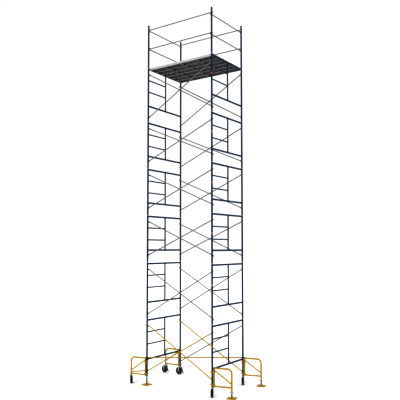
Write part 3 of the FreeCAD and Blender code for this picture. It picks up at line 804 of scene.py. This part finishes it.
@dataclass
class GuardRails:
    """Tubes with flat ends between the posts, two on every side."""

    bar: FlatEndBar = field(default_factory=FlatEndBar)
    inset: float = 0.0245
    side_rises: tuple[float, float] = (1.100, 0.556)
    end_rises: tuple[float, float] = (1.052, 0.516)

    def side(self, kind: str, name: str, span: float, start: tuple[float, float], heading: float) -> None:
        """Makes the two rails of one side.

        Args:
            kind: "side" or "end", as in the names of the plain nodes.
            name: the side's name.
            span: distance between its posts.
            start: the first eye's X and Y.
            heading: the rails' direction from there.
        """
        made = Surface()
        for rise in self.side_rises if kind == "side" else self.end_rises:
            made.take(self.bar.surface(span).moved((*start, LAYOUT.deck + rise), heading))
        made.piece(f"guard_rails_{name}", GREY_TUBE[0], "tower", GREY_TUBE[1], (f"{kind}_rails_{name}",))

    def build(self) -> None:
        """Makes the rails of the four sides."""
        hl, hw = LAYOUT.half_length, LAYOUT.half_width
        for face in Face:
            start = (face.value * hl, face.value * (hw - self.inset))
            self.side("side", face.name.lower(), 2 * hl, start, face.heading)
        for name, end in ENDS.items():
            self.side("end", name, 2 * hw, (end * (hl - self.inset), -end * hw), end * QUARTER)


# ------------------------------------------------------------------ ladder frames
@dataclass
class FrameDetails:
    """Weld beads at every joint of the ladder frames, and one plain label on each leg."""

    slim_radius: float = 0.0167
    rung_radius: float = 0.015
    stile: float = 0.780
    header_drop: float = 0.040
    sill_drops: tuple[float, float] = (0.975, 1.095)
    rung_drops: tuple[float, float] = (0.360, 0.690)
    label_drop: float = 0.560
    bead: float = 0.0032
    label_height: float = 0.044
    label_arc: float = 1.5

    def across(self, x: float, height: float, radius: float, bead: float, sides: int = 16) -> Surface:
        """Builds the beads of a tube or a stud that meets both legs of a frame at one height."""
        made = Surface()
        for side in (-1, 1):
            seam = saddle(LAYOUT.leg_radius, radius, bead, sides)
            made.take(seam.moved((x, side * LAYOUT.half_width, height), -side * QUARTER))
        return made

    def beads(self, lift: Lift, x: float) -> Surface:
        """Builds the beads of one frame.

        Args:
            lift: the storey.
            x: the frame's place along the tower.

        Returns:
            All its beads.
        """
        top, sill = lift.top - self.header_drop, lift.top - self.sill_drops[lift.tall]
        near, stile = -LAYOUT.half_width, self.stile - LAYOUT.half_width
        made = Surface()
        for height in (top, sill):
            made.take(self.across(x, height, HEADER_RADIUS, self.bead))
        for drop in self.rung_drops:
            height = lift.top - drop
            inner = saddle(self.slim_radius, self.rung_radius, self.bead * 0.8)
            outer = saddle(LAYOUT.leg_radius, self.rung_radius, self.bead)
            made.take(outer.moved((x, near, height), QUARTER)).take(inner.moved((x, stile, height), -QUARTER))
        circle = np.column_stack((ring(16, self.slim_radius + 0.001), np.zeros(16)))
        for height in (top - HEADER_RADIUS - 0.001, sill + HEADER_RADIUS + 0.001):
            made.hoop(circle + np.array((x, stile, height)), self.bead)
        for height in lift.stud_heights:
            made.take(self.across(x, height, 0.008, 0.002, 10))
        return made

    def label(self, corner: str, lift: Lift) -> Surface:
        """Builds a thin curved patch on the outer side of a leg, between the sill and the lower stud.

        A point is (radius * cos a, radius * sin a, height) for an angle and a height; the patch is
        0.4 mm thick with corners that stay square.
        """
        sx, sy = CORNERS[corner]
        angle = math.atan2(sy, sx) + np.linspace(-self.label_arc / 2, self.label_arc / 2, 12)
        foot = lift.top - self.label_drop
        skin = [LAYOUT.leg_radius + 0.0001, LAYOUT.leg_radius + 0.0005]
        edges = [(skin[0], foot), (skin[1], foot)] + [(r, foot + self.label_height) for r in skin[::-1]]
        loops = [(r * np.cos(angle), r * np.sin(angle), np.full(12, z)) for r, z in edges]
        section = np.stack([np.stack(loop, axis=1) for loop in loops], axis=1)
        return Surface().net(section).moved(leg_at(corner))

    def build(self) -> None:
        """Makes one piece of beads for each end, and the labels."""
        for name, end in ENDS.items():
            made = Surface()
            for lift in LAYOUT.lifts:
                made.take(self.beads(lift, end * LAYOUT.half_length))
            made.piece(f"frame_welds_{name}", Coat.NAVY, "tower", "navy_paint")
        labels = Surface()
        for corner in CORNERS:
            for lift in LAYOUT.lifts:
                labels.take(self.label(corner, lift))
        labels.piece("plain_leg_labels", Coat.RED_LABEL, "tower", "yellow_paint")


# ------------------------------------------------------------------ platform
@dataclass
class Plank:
    """Folded steel plank with raised grips on top, lips below, cross ribs and hooks at both ends."""

    width: float = 0.241
    depth: float = 0.064
    skin: float = 0.0025
    lip: float = 0.018
    setback: float = 0.026
    grip: float = 0.0022
    bend: float = 0.004
    hook_y: float = 0.075
    hook_half: float = 0.004
    rib_shares: tuple[float, ...] = (0.25, 0.5, 0.75)

    @property
    def inner(self) -> float:
        """Half the width between the sides."""
        return self.width / 2 - self.skin

    def profile(self) -> tuple[np.ndarray, np.ndarray]:
        """Section of the sheet, as a closed loop of (y, z), and how much each point is part of the top.

        The mid-line goes from one lip up the side, over the top and down to the other lip; the two
        skins are that line moved half a skin to each side.
        """
        half, drop, m = self.width / 2 - self.skin / 2, self.depth - self.skin / 2, self.skin / 2
        top = np.linspace(-half + self.bend, half - self.bend, 25)
        line = np.concatenate((
            np.array(((-half + self.lip, -drop), (-half + self.bend, -drop), (-half, -drop + self.bend),
                      (-half, -m - self.bend), (-half + 0.3 * self.bend, -m - 0.3 * self.bend))),
            np.stack((top, np.full(25, -m)), axis=1),
            np.array(((half - 0.3 * self.bend, -m - 0.3 * self.bend), (half, -m - self.bend),
                      (half, -drop + self.bend), (half - self.bend, -drop), (half - self.lip, -drop))),
        ))
        ahead = np.gradient(line, axis=0)
        ahead /= np.linalg.norm(ahead, axis=1, keepdims=True)
        out = np.stack((-ahead[:, 1], ahead[:, 0]), axis=1) * m
        flat = np.zeros(len(line))
        flat[6:-6] = 1.0
        return np.concatenate((line + out, (line - out)[::-1])), np.concatenate((flat, flat[::-1]))

    def sheet(self, length: float) -> Surface:
        """Carries the section along +X; the top skin rises in rounded grips on a staggered lattice.

        The rise is the grip's height times the fourth power of cos(pi x / 50 mm) cos(pi y / 48 mm).
        """
        section, flat = self.profile()
        along = np.linspace(self.setback, length - self.setback, 190)
        x = np.broadcast_to(along[:, None], (len(along), len(section)))
        y = np.broadcast_to(section[None, :, 0], x.shape)
        lattice = np.abs(np.cos(math.pi * x / 0.050) * np.cos(math.pi * y / 0.048)) ** 4
        outer = np.arange(len(section))[None] < len(section) // 2
        z = section[None, :, 1] + self.grip * flat[None] * (lattice * outer - 1.0)
        return Surface().net(np.stack((x, y, z), axis=2))

    def hooks(self) -> Surface:
        """End plate and two hooks at the left end; the header's axis is at X = 0, 10 mm below its seat."""
        axis = -(HEADER_RADIUS + 0.010)
        mouth = HEADER_RADIUS + 0.0004
        arc = np.linspace(0.0, math.pi, 15)
        inner = np.stack((mouth * np.cos(arc), axis + mouth * np.sin(arc)), axis=1)
        under = -self.skin - 0.0005
        outline = np.concatenate((
            np.array(((self.setback, under), (self.setback, axis - 0.010), (mouth, axis - 0.010))),
            inner,
            np.array(((-mouth, axis - 0.010), (-0.030, axis - 0.006), (-0.0305, axis + 0.012),
                      (-0.022, -self.skin - 0.003), (-0.014, under))),
        ))
        made = Surface()
        for y in (-self.hook_y, self.hook_y):
            made.prism(outline, y - self.hook_half, y + self.hook_half)
        w, low, high = self.inner, -self.depth + self.skin, -self.skin
        plate = np.array(((-w, low), (w, low), (w, high), (-w, high)))
        ends = [np.column_stack((np.full(4, x), plate)) for x in (self.setback - 0.003, self.setback)]
        return made.net(np.stack(ends))

    def ribs(self, length: float) -> Surface:
        """Three folded cross ribs welded between the sides, under the top."""
        made = Surface()
        low, high = -self.depth + 0.012, -self.skin - self.grip - 0.0006
        angle = np.array(((-0.015, low), (0.015, low), (0.015, low + 0.003), (-0.012, low + 0.003),
                          (-0.012, high), (-0.015, high)))
        for share in self.rib_shares:
            made.prism(angle + np.array((length * share, 0.0)), -self.inner, self.inner)
        return made

    def build(self) -> None:
        """Makes the planks."""
        length = 2 * LAYOUT.half_length
        for number in range(1, PLANKS + 1):
            node = f"plank_{number}"
            low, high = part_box(node)
            made = self.sheet(length).take(self.ribs(length)).take(self.hooks())
            made.take(self.hooks().moved((length, 0.0, 0.0), math.pi))
            made.moved((-LAYOUT.half_length, (low.y + high.y) / 2, high.z))
            made.piece(f"steel_plank_{number}", Coat.PLANK, node, "plank_steel", (node,), 30.0)


# ------------------------------------------------------------------ outriggers
@dataclass
class OutriggerDetails:
    """Weld beads where an outrigger's tubes meet."""

    tube: float = 0.019
    tie: float = 0.017
    strut: float = 0.0135
    inner: float = 0.048
    reach: float = 0.505
    bead: float = 0.0035

    def beads(self, stay: bool) -> Surface:
        """Builds the beads on both posts of one outrigger that points along +X.

        Args:
            stay: whether it has the short stay.

        Returns:
            All its beads.
        """
        branches = [(self.tube, (0.711, None), 0.0), (self.tie, (0.262, 0.262), 0.0),
                    (self.strut, (0.665, 0.345), -35.0)]
        if stay:
            branches.append((self.strut, (0.375, 0.300), -9.3))
        made = Surface()
        for end, (x, heading) in enumerate(((self.inner, 0.0), (self.reach, math.pi))):
            for radius, heights, slope in branches:
                if heights[end] is None:
                    continue
                seam = saddle(self.tube, radius, self.bead)
                seam.tilted(math.radians(slope if end else -slope))
                made.take(seam.moved((x, 0.0, heights[end]), heading))
        return made

    def build(self) -> None:
        """Makes the beads of the four outriggers."""
        for corner in CORNERS:
            made = self.beads(corner == "front_left").moved(leg_at(corner), outrigger_heading(corner))
            made.piece(f"outrigger_welds_{corner}", Coat.YELLOW, f"outrigger_{corner}", "yellow_paint")


def outrigger_heading(corner: str) -> float:
    """Direction of an outrigger from its leg, found from what stands under its outer post."""
    leg = leg_at(corner)
    swivel = JOINTS.get(f"caster_outrigger_{corner}_swivel")
    if swivel:
        foot = np.array(swivel["pos_m"])
    else:
        low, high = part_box(f"jack_screw_outrigger_{corner}")
        foot = np.array((low + high) / 2)
    return math.atan2(foot[1] - leg[1], foot[0] - leg[0])


# ------------------------------------------------------------------ screw jacks
@dataclass
class ScrewJack:
    """Threaded screw on a square plate, and the wing nut that carries the tube."""

    pitch: float = 0.00635
    crest: float = 0.0160
    depth: float = 0.0016
    top: float = 0.560
    side: float = 0.229
    thick: float = 0.008
    hole: float = 0.0065
    hole_offset: float = 0.0825
    cell_sides: int = 32
    nut_radius: float = 0.028
    nut_rise: float = 0.030
    wing: float = 0.058
    wing_tip: float = 0.011

    def screw(self) -> Surface:
        """Thread: the radius is the crest less the depth times a trapezoid wave.

        The wave's phase is height / pitch - angle / turn.
        """
        turns = (self.top - self.thick) / self.pitch
        height = np.linspace(self.thick + 0.001, self.top, int(turns * 5))[:, None]
        angle = np.linspace(0.0, TURN, 20, endpoint=False)[None]
        phase = (height / self.pitch - angle / TURN) % 1.0
        wave = np.clip(2.6 * np.abs(2.0 * phase - 1.0) - 0.8, 0.0, 1.0)
        radius = self.crest - self.depth * wave
        points = np.stack((radius * np.cos(angle), radius * np.sin(angle), height + 0.0 * angle), axis=2)
        return Surface().net(points)

    def plate(self) -> Surface:
        """Four cells, each a ring between a nail hole and its quarter of the square."""
        made = Surface()
        sides = self.cell_sides
        angle = np.linspace(0.0, TURN, sides, endpoint=False) + TURN / (2 * sides)
        c, s = np.cos(angle), np.sin(angle)
        near, far = self.hole_offset, self.side / 2 - self.hole_offset
        for sx in (-1, 1):
            for sy in (-1, 1):
                reach = [np.where(wave * sign > 0, far, near) / np.maximum(np.abs(wave), TINY)
                         for wave, sign in ((c, sx), (s, sy))]
                out = np.minimum(*reach)
                rows = [(self.hole, 0.0005), (out - 0.0008, 0.0), (out, 0.0010), (out, self.thick - 0.0010),
                        (out - 0.0008, self.thick), (self.hole, self.thick)]
                loops = [(sx * near + r * c, sy * near + r * s, np.full(sides, z)) for r, z in rows]
                made.net(np.stack([np.stack(loop, axis=1) for loop in loops]), closed=True)
        return made

    def socket(self) -> Surface:
        """Welded ring round the screw's foot."""
        foot = self.thick
        profile = [(0.0150, foot - 0.0005), (0.0265, foot - 0.0005), (0.0240, foot + 0.0035),
                   (0.0220, foot + 0.0060), (0.0220, 0.0285), (0.0205, 0.0300), (0.0150, 0.0300)]
        return Surface().lathe(profile, 28, True)

    def nut(self, low: float) -> Surface:
        """Barrel with chamfered rims and a groove, and two cast wings with round ends."""
        r, h = self.nut_radius, self.nut_rise
        bore = self.crest + 0.0002
        section = [(bore, 0.0), (r - 0.003, 0.0), (r, 0.003), (r, 0.012), (r - 0.0015, 0.0135),
                   (r - 0.0015, 0.0165), (r, 0.018), (r, h - 0.003), (r - 0.003, h), (bore, h)]
        profile = [(radius, low + rise) for radius, rise in section]
        made = Surface().lathe(profile, 32, True)
        end, tip = np.linspace(-QUARTER, QUARTER, 9), self.wing_tip
        arc = np.stack((self.wing - tip + tip * np.cos(end), low + 0.013 + tip * np.sin(end)), axis=1)
        root = np.array(((r - 0.004, low + 0.026), (r - 0.004, low + 0.003)))
        outline = np.concatenate((arc, root))
        for way in (1.0, -1.0):
            made.prism(outline * np.array((way, 1.0)), -0.004, 0.004)
        return made

    def build(self) -> None:
        """Makes the three jacks."""
        for tag in ("leg_front_left", "outrigger_front_right", "outrigger_back_right"):
            screw, nut = f"jack_screw_{tag}", f"jack_nut_{tag}"
            low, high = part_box(screw)
            holder, corner = tag.split("_", 1)
            heading = 0.0 if holder == "leg" else outrigger_heading(corner)
            foot = self.plate().take(self.socket())
            rows = (
                (f"base_plate_{tag}", foot, Coat.YELLOW, screw, "yellow_paint", True),
                (f"threaded_screw_{tag}", self.screw(), Coat.SCREW, screw, "zinc_hardware", False),
                (f"wing_nut_{tag}", self.nut(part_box(nut)[0].z), Coat.ZINC, nut, "zinc_hardware", True),
            )
            set_down(rows, ((low.x + high.x) / 2, (low.y + high.y) / 2, 0.0), heading)


# ------------------------------------------------------------------ casters
@dataclass
class Caster:
    """Swivel fork, rubber-tyred wheel and hanging brake pedal; the wheel trails towards +X."""

    trail: float = 0.045
    wheel: float = 0.1016
    tread: float = 0.023
    gap: float = 0.029
    arm: float = 0.005
    crown_foot: float = 0.210
    crown_top: float = 0.222
    seat: float = 0.2397
    back: float = 0.040
    pivot: float = 0.198
    slope: float = 20.8
    leg_stem: float = 0.0188
    outrigger_stem: float = 0.01655
    spokes: int = 6
    pedal_half: float = 0.023

    def tyre(self) -> Surface:
        """Turned section with a low crown, round shoulders and a bead step on each wall."""
        r, w = self.wheel, self.tread
        half = [(0.0640, 0.0165), (0.0670, 0.0200), (0.0700, 0.0225), (0.0900, w), (0.0965, w - 0.0022),
                (0.0998, w - 0.0062), (r - 0.0004, w - 0.0120), (r, 0.006)]
        return Surface().lathe(mirrored(half), 56, True, "y", (self.trail, 0.0, self.wheel))

    def rim(self) -> Surface:
        """Cast centre: hub, thin web with a ring recess, and the rim under the tyre."""
        half = [(0.0081, 0.0280), (0.0190, 0.0280), (0.0215, 0.0262), (0.0235, 0.0130), (0.0290, 0.0070),
                (0.0480, 0.0060), (0.0560, 0.0085), (0.0590, 0.0170), (0.0643, 0.0185)]
        made = Surface().lathe(mirrored(half), 44, True, "y", (self.trail, 0.0, self.wheel))
        spoke = np.array(((0.020, -0.003), (0.059, -0.002), (0.059, 0.002), (0.020, 0.003)))
        for number in range(self.spokes):
            a = number * TURN / self.spokes
            turn = np.array(((math.cos(a), math.sin(a)), (-math.sin(a), math.cos(a))))
            shape = spoke @ turn + np.array((self.trail, self.wheel))
            made.prism(shape, -0.0145, 0.0145)
        return made

    def bolt(self, x: float, z: float, radius: float, half: float, head: float) -> Surface:
        """Bolt across the fork, with a hexagon head and nut on washers."""
        at = (x, 0.0, z)
        made = Surface().lathe([(radius, -half), (radius, half)], 20, False, "y", at)
        hexagon = ring(6, head) + np.array((x, z))
        made.prism(hexagon, half, half + 0.0065).prism(hexagon, -half - 0.0065, -half)
        rim = head * 1.25
        for side in (-1, 1):
            face, seat = side * half, side * (half - 0.0012)
            made.lathe([(radius, seat), (rim, seat), (rim, face), (radius, face)], 20, True, "y", at)
        return made

    def fork(self, stem: float, stem_top: float) -> Surface:
        """Stem, double ball race, crown plate with round corners, tapered arms and brake lugs."""
        seat, foot, top = self.seat, self.crown_foot, self.crown_top
        shank = [(stem, seat - 0.001), (stem, stem_top - 0.004), (stem - 0.003, stem_top)]
        race = [(0.0050, top), (0.0270, top), (0.0270, 0.2270), (0.0245, 0.2290), (0.0245, 0.2305),
                (0.0270, 0.2320), (0.0262, 0.2370), (0.0215, seat), (0.0050, seat)]
        made = Surface().lathe(shank, 24, False).lathe(race, 32, True)
        oval = np.array((0.005, 0.0)) + np.array((0.057, 0.034)) * squarish(ring(40), 0.42)
        made.prism(oval, foot, top, "z")
        low = np.linspace(0.0, -math.pi, 13)
        boss = np.stack((self.trail + 0.020 * np.cos(low), self.wheel + 0.020 * np.sin(low)), axis=1)
        taper = np.array(((0.0225, 0.165), (0.0180, foot), (0.0600, foot), (0.0640, 0.190)))
        shape = np.concatenate((boss, taper))
        lug = np.array(((-0.052, foot), (-0.052, 0.194), (-0.047, 0.186), (-0.034, 0.186),
                        (-0.028, 0.194), (-0.026, foot)))
        for low_y in (-self.gap - self.arm, self.gap):
            made.prism(shape, low_y, low_y + self.arm)
            made.prism(lug, low_y, low_y + self.arm)
        made.take(self.bolt(self.trail, self.wheel, 0.0080, 0.0355, 0.0130))
        return made.take(self.bolt(-self.back, self.pivot, 0.0050, 0.0345, 0.0070))

    def pedal(self) -> Surface:
        """Barrel, lever with the shoe bar, and a pressed pedal with side flanges and a turned-out toe."""
        half = self.pedal_half
        barrel = [(0.0051, -half), (0.0100, -half), (0.0100, half), (0.0051, half)]
        made = Surface().lathe(barrel, 24, True, "y", (-self.back, 0.0, self.pivot))
        to_wheel = np.array((self.trail + self.back, self.wheel - self.pivot))
        reach = np.linalg.norm(to_wheel)
        along = to_wheel / reach
        across = np.array((-along[1], along[0]))
        start = np.array((-self.back, self.pivot))
        shoe = start + along * (reach - self.wheel - 0.0065)
        thick = across * 0.004
        root = start + along * 0.008
        made.prism(np.array((root + thick, root - thick, shoe - thick, shoe + thick)), -0.022, 0.022)
        made.lathe([(0.0060, -half), (0.0060, half)], 16, False, "y", (shoe[0], 0.0, shoe[1]))
        down = np.array((-math.sin(math.radians(self.slope)), -math.cos(math.radians(self.slope))))
        out = np.array((down[1], -down[0]))
        share = np.linspace(0.0, 1.0, 16)[:, None]
        toe = np.clip((share - 0.78) / 0.22, 0.0, 1.0) ** 2 * 0.010
        spine = start + out * 0.0062 + down * (0.006 + 0.142 * share) + out * toe
        skin = out * 0.0015
        made.prism(np.concatenate((spine + skin, (spine - skin)[::-1])), -half, half)
        flange = np.concatenate((spine[:12] + skin, (spine[:12] - out * 0.0125)[::-1]))
        return made.prism(flange, -half, 0.0025 - half).prism(flange, half - 0.0025, half)

    def build(self) -> None:
        """Makes every caster at its swivel."""
        for name, joint in JOINTS.items():
            if not name.endswith("_swivel"):
                continue
            tag = name[len("caster_"):-len("_swivel")]
            swivel = np.array(joint["pos_m"])
            roll = np.array(JOINTS[f"caster_{tag}_roll"]["pos_m"])
            heading = math.atan2(roll[1] - swivel[1], roll[0] - swivel[0])
            stem = self.leg_stem if tag.startswith("leg") else self.outrigger_stem
            fork, wheel, brake = (f"caster_{part}_{tag}" for part in ("fork", "wheel", "brake"))
            held = self.fork(stem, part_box(fork)[1].z)
            rows = (
                (f"swivel_fork_{tag}", held, Coat.ZINC, fork, "zinc_hardware", True),
                (f"rubber_tyre_{tag}", self.tyre(), Coat.TYRE, wheel, "tyre", True),
                (f"cast_centre_{tag}", self.rim(), Coat.CAST, wheel, "zinc_hardware", False),
                (f"brake_pedal_{tag}", self.pedal(), Coat.CAST, brake, "zinc_hardware", True),
            )
            set_down(rows, (swivel[0], swivel[1], 0.0), heading)


# ------------------------------------------------------------------ plain nodes, floor, light and camera
SLOT_COATS = {
    "navy_paint": Coat.NAVY,
    "yellow_paint": Coat.YELLOW,
    "galvanised_tube": Coat.GALVANISED,
    "zinc_hardware": Coat.ZINC,
    "dark_clamp": Coat.CLAMP,
    "plank_steel": Coat.PLANK,
    "tyre": Coat.TYRE,
}


def dress_nodes() -> None:
    """Gives every plain node the finish of its material slot."""
    for entry in frame["record"]["subparts"]:
        node = frame["nodes"][entry["node"]]
        coat = SLOT_COATS[entry["material_slot"]]
        for slot in node.material_slots:
            slot.material = coat.material()
        LOG.info("%s: %s", entry["node"], coat.value.name)


@dataclass
class Studio:
    """Pale floor, even sky, soft lamps and the camera."""

    sky: float = 1.05
    contrast: float = 0.50
    azimuth: float = 35.0965
    tilt: float = 3.6786
    distance: float = 15.3322
    aim_height: float = 4.7132
    lens: float = 49.634
    shift_x: float = 0.0126
    shift_y: float = 0.03
    floor_edge: float = 120.0
    floor_drop: float = 0.0005
    sun: float = 1.2
    sun_spread: float = 30.0
    sun_tilt: float = 38.0
    sun_turn: float = 15.0

    def floor(self) -> None:
        """Lays a wide floor just under the wheels."""
        mesh = bpy.data.meshes.new("studio_floor")
        edge = self.floor_edge
        corners = [(x * edge, y * edge, -self.floor_drop) for x, y in ((-1, -1), (1, -1), (1, 1), (-1, 1))]
        mesh.from_pydata(corners, [], [(0, 1, 2, 3)])
        mesh.materials.append(Coat.FLOOR.material())
        made = bpy.data.objects.new("studio_floor", mesh)
        bpy.context.scene.collection.objects.link(made)

    def light(self) -> None:
        """Sets an even white sky and one broad, soft sun."""
        world = bpy.data.worlds.new("studio_sky")
        bpy.context.scene.world = world
        world.use_nodes = True
        backdrop = world.node_tree.nodes["Background"]
        backdrop.inputs[0].default_value = (1.0, 1.0, 1.0, 1.0)
        backdrop.inputs[1].default_value = self.sky
        lamp = bpy.data.lights.new("soft_sun", "SUN")
        lamp.energy = self.sun
        lamp.angle = math.radians(self.sun_spread)
        made = bpy.data.objects.new("soft_sun", lamp)
        made.rotation_euler = (math.radians(self.sun_tilt), 0.0, math.radians(self.sun_turn))
        bpy.context.scene.collection.objects.link(made)

    def camera(self) -> None:
        """Stands the camera in front of the right-hand corner, tilted a little upwards."""
        a, e = math.radians(self.azimuth), math.radians(self.tilt)
        look = np.array((-math.sin(a) * math.cos(e), math.cos(a) * math.cos(e), math.sin(e)))
        made = bpy.data.objects.new("camera", bpy.data.cameras.new("camera"))
        made.location = np.array((0.0, 0.0, self.aim_height)) - look * self.distance
        made.rotation_euler = (QUARTER + e, 0.0, a)
        made.data.sensor_width = 36.0
        made.data.lens = self.lens
        made.data.shift_x = self.shift_x
        made.data.shift_y = self.shift_y
        made.data.clip_end = 500.0
        bpy.context.scene.collection.objects.link(made)
        bpy.context.scene.camera = made

    def build(self) -> None:
        """Sets up the whole studio."""
        view = bpy.context.scene.view_settings
        view.view_transform, view.gamma = "Standard", self.contrast
        self.floor()
        self.light()
        self.camera()


def main() -> None:
    """Builds every sub-assembly in order."""
    logging.basicConfig(level=logging.INFO, format="%(name)s: %(message)s")
    Studio().build()
    dress_nodes()
    for kind in (CrossBraces, GuardRails, FrameDetails, Plank, OutriggerDetails, ScrewJack, Caster):
        kind().build()
        LOG.info("%s done", kind.__name__)
    bpy.context.view_layer.update()


if __name__ == "__main__":
    main()
